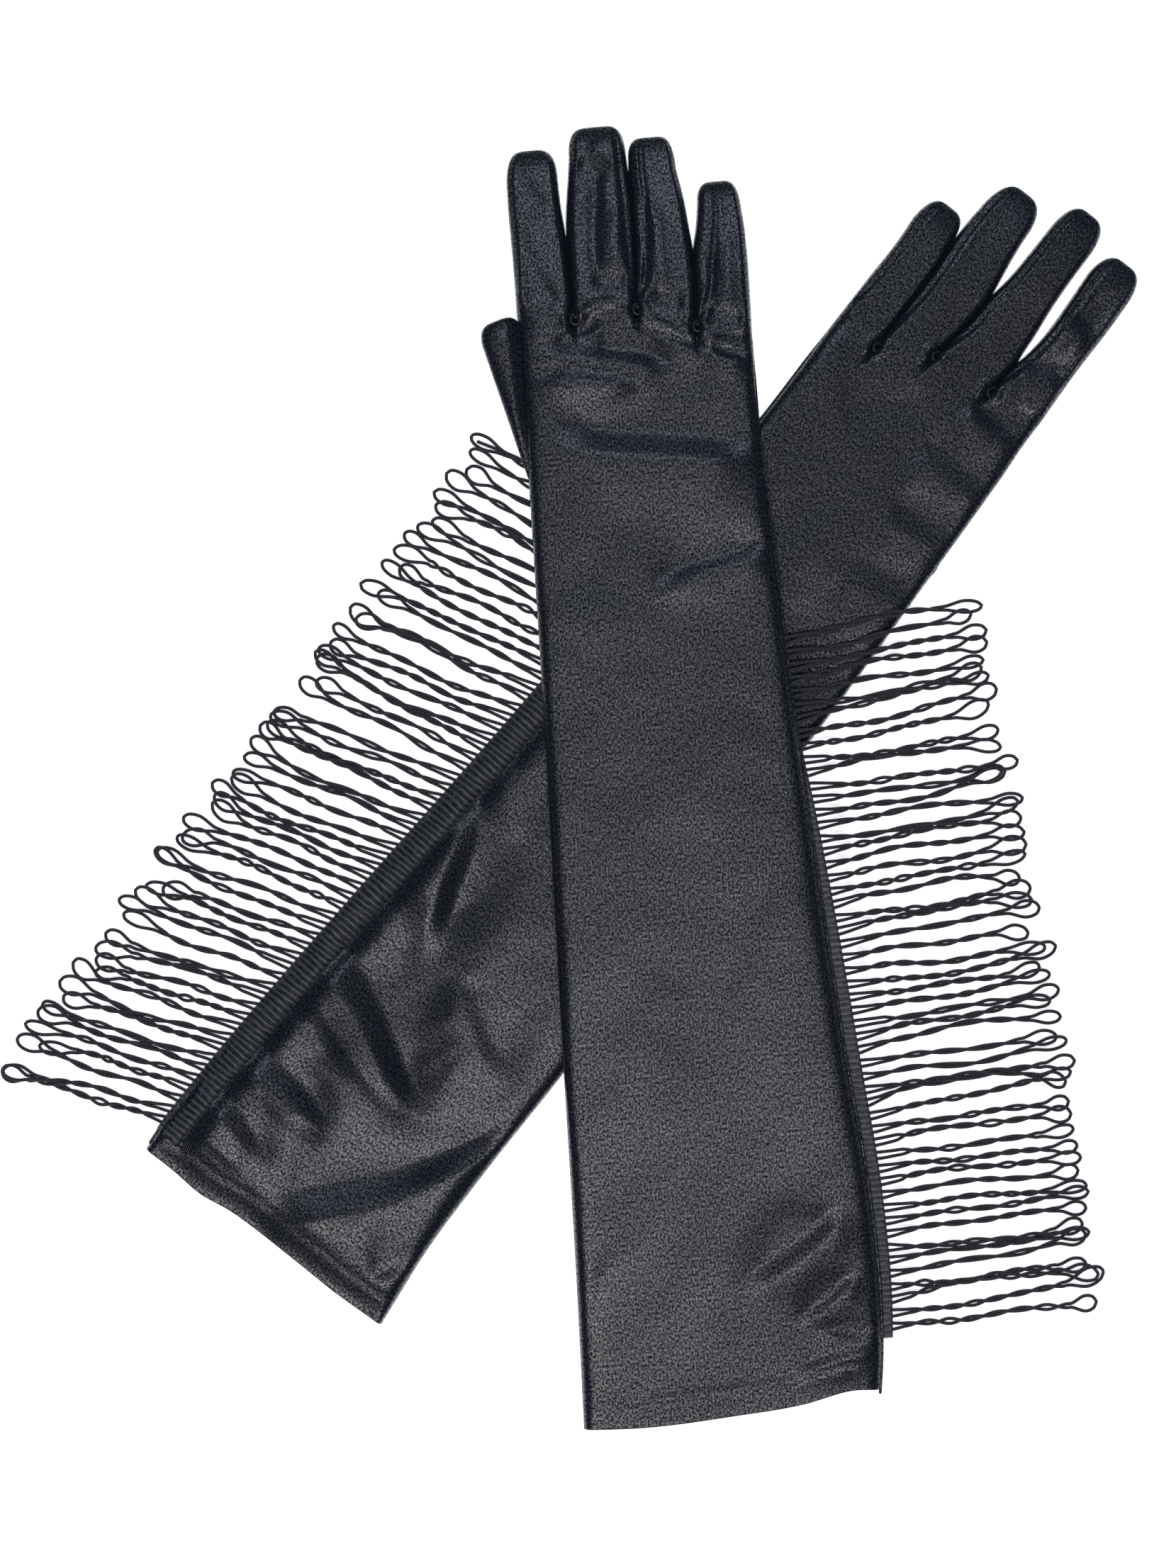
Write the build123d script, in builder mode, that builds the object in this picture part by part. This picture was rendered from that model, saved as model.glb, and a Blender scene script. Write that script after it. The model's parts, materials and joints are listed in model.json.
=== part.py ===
"""A pair of long satin opera gloves with looped fringe, laid flat and crossed.

The left glove lies on the table and the right glove lies over it. Both are
made by the same functions: a glove is drawn in its own flat frame, where
"along" runs from the middle of the hem to the fingertips and "across" is
positive towards the little finger, and each layer of cloth follows the
height of that glove's underside above the table.

Origin: on the table, under the place where the gloves cross.
X and Y lie in the table, +Z is up. All sizes are in millimetres.
"""

import os
from dataclasses import dataclass
from math import cos, hypot, radians, sin

from build123d import *

# ---------------------------------------------------------------- cloth
WALL = 0.8                 # thickness of the satin and its lining
GLOVE_HEIGHT = 7.5         # outside height of a glove that lies flat
HEM_DEPTH = 12.0           # turned hem inside the cuff
HEM_FACING = 0.6
JOINT_GAP = 0.4            # clearance between pieces that move apart

# ---------------------------------------------------------------- arm and hand
CUFF_WIDTH = 124.0
FOREARM_WIDTH = 128.0      # the widest place, just above the hem
MID_ARM_WIDTH = 121.0
LOWER_ARM_WIDTH = 110.0
WRIST_WIDTH = 103.0
PALM_WIDTH = 102.0
KNUCKLE_WIDTH = 98.0

FOREARM_AT = 38.0          # distances from the hem
MID_ARM_AT = 131.0
LOWER_ARM_AT = 231.0
WRIST_AT = 297.0
PALM_START = 351.0
PALM_END = 401.0
KNUCKLES_AT = 467.0        # crotch between index and middle finger

# ---------------------------------------------------------------- fingers
CROTCH_GAP = 0.4           # between neighbouring fingers at their roots
TIP_ROUNDING = 0.42        # tip corner radius as a share of the tip's width


@dataclass(frozen=True)
class Finger:
    name: str
    root_width: float
    setback: float         # how far its root lies behind the knuckle line
    length: float
    tip_width: float
    drift: float           # sideways shift of the tip, towards the little finger


FINGERS = (
    Finger("index", 24.6, 0.0, 70.0, 22.0, 1.8),
    Finger("middle", 25.7, 1.0, 82.0, 22.0, 3.1),
    Finger("ring", 26.3, 5.0, 80.0, 21.5, 1.2),
    Finger("little", 21.0, 11.5, 62.0, 18.5, 2.8),
)

# ---------------------------------------------------------------- thumb
THUMB_LENGTH = 70.0        # from its base pivot to its tip
THUMB_BASE_WIDTH = 24.0
THUMB_TIP_WIDTH = 20.0
THUMB_HEIGHT = 2.4         # pressed flat under the palm
THUMB_ACROSS = -38.0       # base pivot
THUMB_SETBACK = 73.0       # base pivot, behind the knuckle line
THUMB_HOLE_LENGTH = 16.0
THUMB_HOLE_WIDTH = 8.0
BAY_CLEARANCE = 0.3        # room over the thumb in the tuck of the palm
BAY_INNER = -15.0          # inner side of the tuck
BAY_START_ROOM = 14.0      # from the thumb's pivot to the tuck's arm end

# ---------------------------------------------------------------- stitching
STITCH_LENGTH = 2.2
STITCH_WIDTH = 0.5
STITCH_HEIGHT = 0.25
STITCH_PITCH = 3.4
HEM_STITCH_AT = 11.0       # from the hem edge
TACK_LENGTH = 6.0
TACK_WIDTH = 1.6

# ---------------------------------------------------------------- fringe
HEADER_WIDTH = 12.7
HEADER_THICKNESS = 1.2
HEADER_STITCH_INSET = 1.4  # from the header's inner edge
THREAD_RADIUS = 0.5        # thinner than half the header, which it runs into
LOOP_PITCH = 5.6
LOOP_WIDTH = 3.6           # between the centre lines of a loop's two legs
LOOP_SEWN_IN = 0.7         # how far each leg runs into the header
LENGTH_SWING = 3.0         # neighbouring loops differ by up to this much
SWING_STEP = 2.4           # radians of that variation from loop to loop
FLOOR_CLEARANCE = 0.1      # under a loop that lies on the table
STRAND_LENGTH = 92.0       # the one cut strand, beside the last loop

# ---------------------------------------------------------------- laying out
HEM_LIFT = 1.3             # right glove: its header lies under its palm
HEM_FLAT = 20.0
RISE_END = 125.0           # right glove: reaches its height over the left one here
FINGER_BEND_SETBACK = 4.0  # right glove: slopes down to the table from here,
FINGER_REST_BEYOND = 85.0  # and reaches it here, before and past the knuckle line
REST_HEIGHT = 0.2          # right glove's fingertips
OVER_CLEARANCE = 0.35      # between the right glove and what lies under it
REACH = 400.0              # longer than any half width, for trimming

OVER_HEIGHT = GLOVE_HEIGHT + HEADER_THICKNESS + STITCH_HEIGHT + OVER_CLEARANCE
BAY_HEIGHT = THUMB_HEIGHT + BAY_CLEARANCE

HALF_WIDTHS = (
    (0.0, CUFF_WIDTH / 2),
    (FOREARM_AT, FOREARM_WIDTH / 2),
    (MID_ARM_AT, MID_ARM_WIDTH / 2),
    (LOWER_ARM_AT, LOWER_ARM_WIDTH / 2),
    (WRIST_AT, WRIST_WIDTH / 2),
    (PALM_START, PALM_WIDTH / 2),
    (PALM_END, PALM_WIDTH / 2),
    (KNUCKLES_AT, KNUCKLE_WIDTH / 2),
)


@dataclass(frozen=True)
class Glove:
    name: str
    side: int              # +1 when the little finger is towards plan +X
    hem: tuple             # middle of the hem on the table
    turn: float            # degrees that the glove is turned about Z
    underside: tuple       # (along, height) points of its underside
    thumb_lean: float      # degrees, outwards from the glove's length
    thumb_out: float       # degrees, how far the thumb swings out
    header_base: float     # header's lower face above the underside
    header_start: float
    header_end: float
    loop_length: tuple     # at the hem end and at the hand end
    loop_lean: tuple       # degrees towards the fingers, at both ends
    crossed_from: float    # loops from here on lie over the other glove

    @property
    def plan(self):
        """The glove's flat frame on the table, X across it and Y along it."""
        across = (cos(radians(self.turn)), sin(radians(self.turn)), 0)
        return Plane(origin=(*self.hem, 0), x_dir=across, z_dir=(0, 0, 1))

    @property
    def profile(self):
        """The upright frame along the glove, X along it and Y up."""
        return Plane(origin=self.plan.origin, x_dir=self.plan.y_dir, z_dir=self.plan.x_dir)


LEFT = Glove(
    name="left",
    side=-1,
    hem=(-169.0, -211.5),
    turn=-38.2,
    underside=((-REACH, 0.0), (2 * REACH, 0.0)),
    thumb_lean=-8.0,
    thumb_out=40.0,
    header_base=GLOVE_HEIGHT,
    header_start=10.0,
    header_end=335.0,
    loop_length=(74.0, 92.0),
    loop_lean=(-22.0, -9.0),
    crossed_from=2 * REACH,
)

RIGHT = Glove(
    name="right",
    side=1,
    hem=(27.9, -284.2),
    turn=5.1,
    underside=(
        (-REACH, HEM_LIFT),
        (HEM_FLAT, HEM_LIFT),
        (RISE_END, OVER_HEIGHT),
        (KNUCKLES_AT - FINGER_BEND_SETBACK, OVER_HEIGHT),
        (KNUCKLES_AT + FINGER_REST_BEYOND, REST_HEIGHT),
        (2 * REACH, REST_HEIGHT),
    ),
    thumb_lean=15.6,
    thumb_out=30.0,
    header_base=-HEADER_THICKNESS,
    header_start=25.0,
    header_end=324.0,
    loop_length=(88.0, 90.0),
    loop_lean=(2.0, 6.0),
    crossed_from=268.0,
)


# ---------------------------------------------------------------- measuring
def interpolate(points, along):
    """Height of a chain of (along, value) points at one place."""
    for (start, low), (end, high) in zip(points, points[1:]):
        if start <= along <= end:
            return low + (high - low) * (along - start) / (end - start)
    return points[-1][1]


def half_width(along):
    return interpolate(HALF_WIDTHS, along)


def underside(glove, along):
    return interpolate(glove.underside, along)


def finger_roots():
    """Each finger with the index-side end of its root."""
    gaps = CROTCH_GAP * (len(FINGERS) - 1)
    across = -(sum(finger.root_width for finger in FINGERS) + gaps) / 2
    for finger in FINGERS:
        yield finger, across
        across += finger.root_width + CROTCH_GAP


def root_at(finger):
    """Where a finger leaves the hand, along the glove."""
    return KNUCKLES_AT - finger.setback


# ---------------------------------------------------------------- shared shapes
def closed_face(glove, points):
    """A face in the current sketch, from points in the glove's frame."""
    return Polygon(*[(glove.side * across, along) for across, along in points], align=None)


def edge_points(side, inset, start, end):
    """The arm's edge on one side, drawn in by an inset, between two places."""
    places = [start] + [at for at, _ in HALF_WIDTHS if start < at < end] + [end]
    return [(side * (half_width(at) - inset), at) for at in places]


def hand_outline(inset=0.0):
    """Arm and hand from the hem to the stepped line of the finger roots."""
    points = edge_points(-1, inset, 0.0, root_at(FINGERS[0]))
    for finger, across in finger_roots():
        points.append((max(across, points[0][0]), root_at(finger)))
        points.append((across + finger.root_width + CROTCH_GAP / 2, root_at(finger)))
    outer = edge_points(1, inset, 0.0, root_at(FINGERS[-1]))
    return points[:-1] + outer[::-1]


def keep_layer(glove, low, high, start=0.0, end=REACH * 2):
    """Trims the current solid to a layer that follows the glove's underside."""
    bends = [at for at, _ in glove.underside if start < at < end]
    places = [start] + bends + [end]
    lower = [(at, underside(glove, at) + low) for at in places]
    upper = [(at, underside(glove, at) + high) for at in places]
    with BuildSketch(glove.profile) as layer:
        Polygon(*lower, *upper[::-1], align=None)
    extrude(layer.sketch, amount=REACH, both=True, mode=Mode.INTERSECT)


def save(glove, node, part):
    """Labels a finished piece and writes it to its own file."""
    part.label = f"{glove.name}_{node}"
    export_step(part, f"parts/{part.label}.step")
    print(f"{part.label:32s} {len(part.solids()):3d} solids {part.volume:10.1f} mm3")


# ---------------------------------------------------------------- arm and hand
def make_back_panel(glove):
    with BuildPart() as back_panel:
        with BuildSketch(glove.plan):
            closed_face(glove, hand_outline())
        extrude(amount=REACH)
        keep_layer(glove, GLOVE_HEIGHT - WALL, GLOVE_HEIGHT)
    save(glove, "back_panel", back_panel.part)


def thumb_pivot_at():
    return KNUCKLES_AT - THUMB_SETBACK


def bay_outline(inset):
    """The tuck that the thumb lies in, open on the index side."""
    start = thumb_pivot_at() - BAY_START_ROOM + inset
    end = min(root_at(finger) for finger in FINGERS[:2]) - inset
    inner = BAY_INNER - inset
    outer = edge_points(-1, 0.0 if inset == 0 else -THUMB_LENGTH, start, end)
    return [(inner, start), *outer, (inner, end)]


def bay_level(glove):
    return glove.plan.offset(underside(glove, thumb_pivot_at()))


def make_palm_panel(glove):
    with BuildPart() as palm_panel:
        with BuildSketch(glove.plan):
            closed_face(glove, hand_outline())
        extrude(amount=REACH)
        keep_layer(glove, 0.0, WALL)
        with BuildSketch(bay_level(glove)):
            closed_face(glove, bay_outline(0.0))
        extrude(amount=BAY_HEIGHT + WALL)
        with BuildSketch(bay_level(glove)):
            closed_face(glove, bay_outline(WALL))
        extrude(amount=BAY_HEIGHT, mode=Mode.SUBTRACT)
        with BuildSketch(bay_level(glove)):
            with Locations((glove.side * THUMB_ACROSS, thumb_pivot_at())):
                Ellipse(THUMB_HOLE_WIDTH / 2, THUMB_HOLE_LENGTH / 2)
        extrude(amount=BAY_HEIGHT + WALL, mode=Mode.SUBTRACT)
    save(glove, "palm_panel", palm_panel.part)


def side_strip(glove, side, end):
    """The upright side of the glove between its back and its palm."""
    inner = edge_points(side, WALL, 0.0, end)
    outer = edge_points(side, 0.0, 0.0, end)
    with BuildSketch(glove.plan) as strip:
        closed_face(glove, inner + outer[::-1])
    extrude(strip.sketch, amount=REACH)
    keep_layer(glove, WALL, GLOVE_HEIGHT - WALL)


def make_index_side_fold(glove):
    with BuildPart() as index_side_fold:
        side_strip(glove, -1, root_at(FINGERS[0]))
        with BuildSketch(bay_level(glove)):
            closed_face(glove, bay_outline(0.0))
        extrude(amount=BAY_HEIGHT + WALL, mode=Mode.SUBTRACT)
    save(glove, "index_side_fold", index_side_fold.part)


def make_outer_seam(glove):
    with BuildPart() as outer_seam:
        side_strip(glove, 1, root_at(FINGERS[-1]))
    save(glove, "outer_seam", outer_seam.part)


# ---------------------------------------------------------------- hem
def make_hem_facing(glove):
    """The turned hem: a flat sleeve inside the cuff."""
    with BuildPart() as hem_room:
        with BuildSketch(glove.plan):
            closed_face(glove, hand_outline(WALL + HEM_FACING))
        extrude(amount=REACH)
        keep_layer(glove, WALL + HEM_FACING, GLOVE_HEIGHT - WALL - HEM_FACING, 0.0, HEM_DEPTH)
    with BuildPart() as hem_facing:
        with BuildSketch(glove.plan):
            closed_face(glove, hand_outline(WALL))
        extrude(amount=REACH)
        keep_layer(glove, WALL, GLOVE_HEIGHT - WALL, 0.0, HEM_DEPTH)
        add(hem_room.part, mode=Mode.SUBTRACT)
    save(glove, "hem_facing", hem_facing.part)


def make_hem_stitches(glove):
    count = int((CUFF_WIDTH - 2 * HEADER_WIDTH) / STITCH_PITCH)
    with BuildPart() as hem_stitches:
        with BuildSketch(glove.plan):
            with Locations((0, HEM_STITCH_AT)):
                with GridLocations(STITCH_PITCH, 1, count, 1):
                    Rectangle(STITCH_LENGTH, STITCH_WIDTH)
        extrude(amount=REACH)
        keep_layer(glove, GLOVE_HEIGHT, GLOVE_HEIGHT + STITCH_HEIGHT)
    save(glove, "hem_stitches", hem_stitches.part)


def make_hem_bar_tack(glove):
    """The close stitches that lock the hem's outer corner, before the header."""
    at = (glove.side * (half_width(0.0) - TACK_LENGTH), TACK_LENGTH)
    with BuildPart() as hem_bar_tack:
        with BuildSketch(glove.plan):
            with Locations(at):
                Rectangle(TACK_LENGTH, TACK_WIDTH)
        extrude(amount=REACH)
        keep_layer(glove, GLOVE_HEIGHT, GLOVE_HEIGHT + STITCH_HEIGHT)
    save(glove, "hem_bar_tack", hem_bar_tack.part)


# ---------------------------------------------------------------- fringe
def make_fringe_header(glove):
    start, end = glove.header_start, glove.header_end
    inner = edge_points(1, HEADER_WIDTH, start, end)
    outer = edge_points(1, 0.0, start, end)
    with BuildPart() as fringe_header:
        with BuildSketch(glove.plan):
            closed_face(glove, inner + outer[::-1])
        extrude(amount=REACH)
        keep_layer(glove, glove.header_base, glove.header_base + HEADER_THICKNESS)
    save(glove, "fringe_header", fringe_header.part)


def make_header_stitches(glove):
    """The row that sews the header on, seen on the back of the glove."""
    base = GLOVE_HEIGHT + max(0.0, glove.header_base + HEADER_THICKNESS - GLOVE_HEIGHT)
    run = glove.header_end - glove.header_start - 2 * STITCH_PITCH
    count = int(run / STITCH_PITCH)
    spots = []
    for number in range(count):
        along = glove.header_start + STITCH_PITCH * (number + 1)
        across = half_width(along) - HEADER_WIDTH + HEADER_STITCH_INSET
        spots.append((glove.side * across, along))
    with BuildPart() as header_stitches:
        with BuildSketch(glove.plan):
            with Locations(*spots):
                Rectangle(STITCH_WIDTH, STITCH_LENGTH)
        extrude(amount=REACH)
        keep_layer(glove, base, base + STITCH_HEIGHT)
    save(glove, "header_stitches", header_stitches.part)


def strand_plane(glove, along, length, lean):
    """The frame of one strand: X out along it, Z up, at the header's edge."""
    header_middle = glove.header_base + HEADER_THICKNESS / 2
    start_height = underside(glove, along) + header_middle
    lies_over = along >= glove.crossed_from
    rest = THREAD_RADIUS + FLOOR_CLEARANCE
    tip_height = start_height if lies_over else rest
    across = half_width(along) - LOOP_SEWN_IN
    start = glove.plan.from_local_coords(Vector(glove.side * across, along, start_height))
    turn = radians(lean)
    heading = glove.plan.x_dir * (glove.side * cos(turn)) + glove.plan.y_dir * sin(turn)
    drop = (tip_height - start_height) / length
    forward = heading + Vector(0, 0, drop)
    sideways = Vector(0, 0, 1).cross(heading)
    return Plane(origin=start, x_dir=forward, z_dir=forward.cross(sideways))


def make_loop(plane, length):
    """One loop of the fringe: out, round and back, as a bent thread."""
    leg = length - LOOP_WIDTH / 2
    half = LOOP_WIDTH / 2
    with BuildPart() as loop:
        with BuildLine(plane) as route:
            Line((0, half), (leg, half))
            JernArc((leg, half), (1, 0), half, -180)
            Line((leg, -half), (0, -half))
        with BuildSketch(Plane(origin=route.line @ 0, z_dir=route.line % 0)):
            Circle(THREAD_RADIUS)
        sweep(path=route.line)
    return loop.part


def make_strand(plane, length):
    """The one strand whose end is cut."""
    with BuildPart() as strand:
        with BuildSketch(Plane(origin=plane.origin, z_dir=plane.x_dir)):
            Circle(THREAD_RADIUS)
        extrude(amount=length)
    return strand.part


def make_fringe_loops(glove):
    """All the loops, side by side along the header."""
    run = glove.header_end - glove.header_start - LOOP_PITCH
    count = int(run / LOOP_PITCH)
    first_length, last_length = glove.loop_length
    first_lean, last_lean = glove.loop_lean
    threads = []
    for number in range(count):
        share = number / (count - 1)
        along = glove.header_start + LOOP_PITCH * (number + 0.5)
        length = first_length + (last_length - first_length) * share
        length += LENGTH_SWING * sin(SWING_STEP * number)
        lean = first_lean + (last_lean - first_lean) * share
        threads.append(make_loop(strand_plane(glove, along, length, lean), length))
    along = glove.header_start + LOOP_PITCH * (count + 0.5)
    plane = strand_plane(glove, along, STRAND_LENGTH, last_lean)
    threads.append(make_strand(plane, STRAND_LENGTH))
    with BuildPart() as fringe_loops:
        add(threads)
    save(glove, "fringe_loops", fringe_loops.part)


# ---------------------------------------------------------------- fingers
def finger_outline(glove, finger, across):
    """A finger from just inside the hand to its rounded tip."""
    root = root_at(finger)
    tip = root + finger.length
    middle = across + finger.root_width / 2 + finger.drift
    half_tip = finger.tip_width / 2
    overlap = 2 * WALL + JOINT_GAP
    points = [
        (across, root - overlap),
        (across, root),
        (middle - half_tip, tip),
        (middle + half_tip, tip),
        (across + finger.root_width, root),
        (across + finger.root_width, root - overlap),
    ]
    outline = closed_face(glove, points)
    corners = outline.vertices().sort_by(Axis.Y)
    fillet(corners[-2:], TIP_ROUNDING * finger.tip_width)


def make_finger(glove, finger, across):
    start = root_at(finger) + JOINT_GAP
    layers = (
        ("back", GLOVE_HEIGHT - WALL, GLOVE_HEIGHT, False),
        ("palm", 0.0, WALL, False),
        ("fourchette", WALL, GLOVE_HEIGHT - WALL, True),
    )
    for layer, low, high, hollow in layers:
        with BuildPart() as finger_piece:
            with BuildSketch(glove.plan):
                finger_outline(glove, finger, across)
                if hollow:
                    offset(amount=-WALL, mode=Mode.SUBTRACT)
            extrude(amount=REACH)
            keep_layer(glove, low, high, start)
        save(glove, f"{finger.name}_{layer}", finger_piece.part)


# ---------------------------------------------------------------- thumb
def thumb_outline(glove, inset):
    """A tapered slot from the thumb's pivot to its tip."""
    lean = radians(glove.thumb_lean)
    reach = THUMB_LENGTH - THUMB_TIP_WIDTH / 2
    pivot = (glove.side * THUMB_ACROSS, thumb_pivot_at())
    tip = (
        glove.side * (THUMB_ACROSS - reach * sin(lean)),
        thumb_pivot_at() + reach * cos(lean),
    )
    with Locations(pivot):
        Circle(THUMB_BASE_WIDTH / 2 - inset)
    with Locations(tip):
        Circle(THUMB_TIP_WIDTH / 2 - inset)
    make_hull()


def make_thumb(glove):
    level = bay_level(glove)
    with BuildPart() as thumb_palm:
        with BuildSketch(level):
            thumb_outline(glove, 0.0)
        extrude(amount=WALL)
    save(glove, "thumb_palm", thumb_palm.part)
    with BuildPart() as thumb_inside:
        with BuildSketch(level.offset(WALL)):
            thumb_outline(glove, WALL)
        extrude(amount=THUMB_HEIGHT - 2 * WALL)
    with BuildPart() as thumb_gusset:
        with BuildSketch(level.offset(WALL)):
            thumb_outline(glove, 0.0)
        extrude(amount=THUMB_HEIGHT - 2 * WALL)
        add(thumb_inside.part, mode=Mode.SUBTRACT)
    save(glove, "thumb_gusset", thumb_gusset.part)
    with BuildPart() as thumb_back:
        with BuildSketch(level.offset(THUMB_HEIGHT - WALL)):
            thumb_outline(glove, 0.0)
        extrude(amount=WALL)
        with BuildSketch(level.offset(THUMB_HEIGHT - WALL)):
            with Locations((glove.side * THUMB_ACROSS, thumb_pivot_at())):
                Ellipse(THUMB_HOLE_WIDTH / 2, THUMB_HOLE_LENGTH / 2)
        extrude(amount=WALL, mode=Mode.SUBTRACT)
    save(glove, "thumb_back", thumb_back.part)


# ---------------------------------------------------------------- the pair
os.makedirs("parts", exist_ok=True)
for each_glove in (LEFT, RIGHT):
    make_back_panel(each_glove)
    make_palm_panel(each_glove)
    make_index_side_fold(each_glove)
    make_outer_seam(each_glove)
    make_hem_facing(each_glove)
    make_hem_stitches(each_glove)
    make_hem_bar_tack(each_glove)
    make_fringe_header(each_glove)
    make_header_stitches(each_glove)
    make_fringe_loops(each_glove)
    for each_finger, root_across in finger_roots():
        make_finger(each_glove, each_finger, root_across)
    make_thumb(each_glove)
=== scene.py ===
"""The looks of a pair of long satin opera gloves with looped fringe, laid flat and crossed.

Lengths are in millimetres until a mesh is made. A glove is drawn in its own flat frame:
"along" (v) runs from the middle of the hem to the fingertips, "across" (u) is positive
towards the little finger, and z is the height above the table.
"""

import json
from math import cos, pi, radians, sin

import bmesh
import bpy
import numpy as np
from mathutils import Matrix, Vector


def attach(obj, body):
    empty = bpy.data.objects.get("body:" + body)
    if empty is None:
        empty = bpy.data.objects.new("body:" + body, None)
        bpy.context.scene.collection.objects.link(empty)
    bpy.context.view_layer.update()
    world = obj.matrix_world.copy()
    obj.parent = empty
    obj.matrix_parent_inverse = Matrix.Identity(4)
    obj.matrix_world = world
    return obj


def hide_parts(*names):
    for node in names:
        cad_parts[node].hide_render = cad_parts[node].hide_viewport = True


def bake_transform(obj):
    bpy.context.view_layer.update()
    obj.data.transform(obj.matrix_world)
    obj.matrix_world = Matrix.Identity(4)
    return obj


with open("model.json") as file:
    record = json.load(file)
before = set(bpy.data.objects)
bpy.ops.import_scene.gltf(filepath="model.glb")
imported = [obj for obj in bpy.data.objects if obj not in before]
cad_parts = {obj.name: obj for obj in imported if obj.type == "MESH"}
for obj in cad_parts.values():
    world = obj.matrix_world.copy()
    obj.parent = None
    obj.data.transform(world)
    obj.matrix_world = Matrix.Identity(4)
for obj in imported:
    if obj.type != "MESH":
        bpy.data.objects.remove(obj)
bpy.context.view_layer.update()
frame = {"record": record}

MM = 0.001

# ------------------------------------------------------------------ sizes
ARM_ROWS = 330              # mesh rows from the hem to the fingers
FINGER_COLUMNS = 22         # mesh columns across one finger
FINGER_ROWS = 58            # mesh rows from a finger's root to its rounded end
CAP_ROWS = 14               # mesh rows round a finger's end
CORD_SIDES = 8

CLOTH_LOWER = 1.5           # height of the folded edge above the underside
CLOTH_UPPER = 4.6           # rise of the back above the folded edge
FINGER_UPPER = 4.9          # the same on the fingers
CLOTH_GAP = 0.4             # least room between the back and the palm
PALM_SAG = CLOTH_LOWER - 0.3
HEM_DEPTH = 11.5
HEM_THICKNESS = 0.9
CUFF_HALF = 62.0
HEM_SHARE = 0.45            # share of the cuff's opening that a hem may fill
HEADER_WIDTH = 12.7
HEADER_SWELL = 1.9          # rise of the padded tape, and of a rib on it
RIB_HEIGHT = 1.15
RIB_PITCH = 2.5
CORD_RADIUS = 0.72
LOOP_PITCH = 5.6
LAST_LOOP = 4.0             # length of the header that holds no loop
DROOP = 0.3                 # slope of a loop that hangs over an edge
STITCH_PITCH = 3.0

FLOOR_HALF = 3.0            # metres
FLOOR_LEVEL = -0.0004
VIEW_HEIGHT = 1.568
VIEW_CENTRE = (-0.0322, -0.0199)
WARM = (1.0, 0.96, 0.985)
COOL = (0.76, 0.86, 1.0)


def stations(*pairs):
    """Places and values of a chain, as two arrays."""
    places, values = zip(*pairs)
    return np.array(places, float), np.array(values, float)


def follow(chain, at):
    """A smooth curve through a chain of places and values (Catmull-Rom)."""
    places, values = chain
    at = np.asarray(at, float)
    slope = np.gradient(values, places)
    i = np.clip(np.searchsorted(places, at, side="right") - 1, 0, len(places) - 2)
    width = places[i + 1] - places[i]
    x = np.clip((at - places[i]) / width, 0, 1)
    a, b = values[i], values[i + 1]
    return (
        (2 * x**3 - 3 * x**2 + 1) * a
        + (x**3 - 2 * x**2 + x) * width * slope[i]
        + (-2 * x**3 + 3 * x**2) * b
        + (x**3 - x**2) * width * slope[i + 1]
    )


def ease(x):
    """A smooth rise from 0 to 1."""
    x = np.clip(x, 0, 1)
    return x * x * (3 - 2 * x)


# ------------------------------------------------------------------ the two gloves
# A finger's low side is towards the thumb. Each edge is a chain of (along, across).
RIGHT_FINGERS = {
    "index": dict(
        low=stations((472, -48.6), (493, -48.4), (516, -48.4), (522, -48.2)),
        high=stations((464.5, -25.3), (470, -24.9), (484, -24.8), (503, -25.3), (512, -26.0), (527, -26.4)),
        cap=(521.0, 526.5), tip=537.4, square=0.50, seams=(-0.86, 0.90),
    ),
    "middle": dict(
        low=stations((464.5, -25.3), (470, -25.6), (484, -25.5), (503, -24.9), (512, -24.0), (522, -22.5),
            (534, -20.8)),
        high=stations((466.5, 1.2), (472, 2.2), (490, 3.6), (512, 4.3), (524, 3.6), (534, 3.2)),
        cap=(533.0, 533.0), tip=545.0, square=0.40, seams=(-0.90, 0.70),
    ),
    "ring": dict(
        low=stations((466.5, 1.2), (472, 1.4), (490, 2.8), (512, 3.6), (524, 3.5), (530, 3.9)),
        high=stations((457, 25.8), (462, 26.6), (476, 27.8), (489, 27.8), (499, 27.0), (511, 25.9),
            (524, 23.8)),
        cap=(529.5, 524.0), tip=538.6, square=0.42, seams=(-0.44, 0.90),
    ),
    "little": dict(
        low=stations((457, 25.8), (462, 25.8), (476, 27.1), (489, 27.7), (499, 29.8), (508, 31.2)),
        high=stations((450, 49.2), (466, 49.8), (488, 50.3), (500, 50.0), (506, 49.4)),
        cap=(508.0, 504.0), tip=517.2, square=0.46, seams=(-0.16, 0.92),
    ),
}

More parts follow.
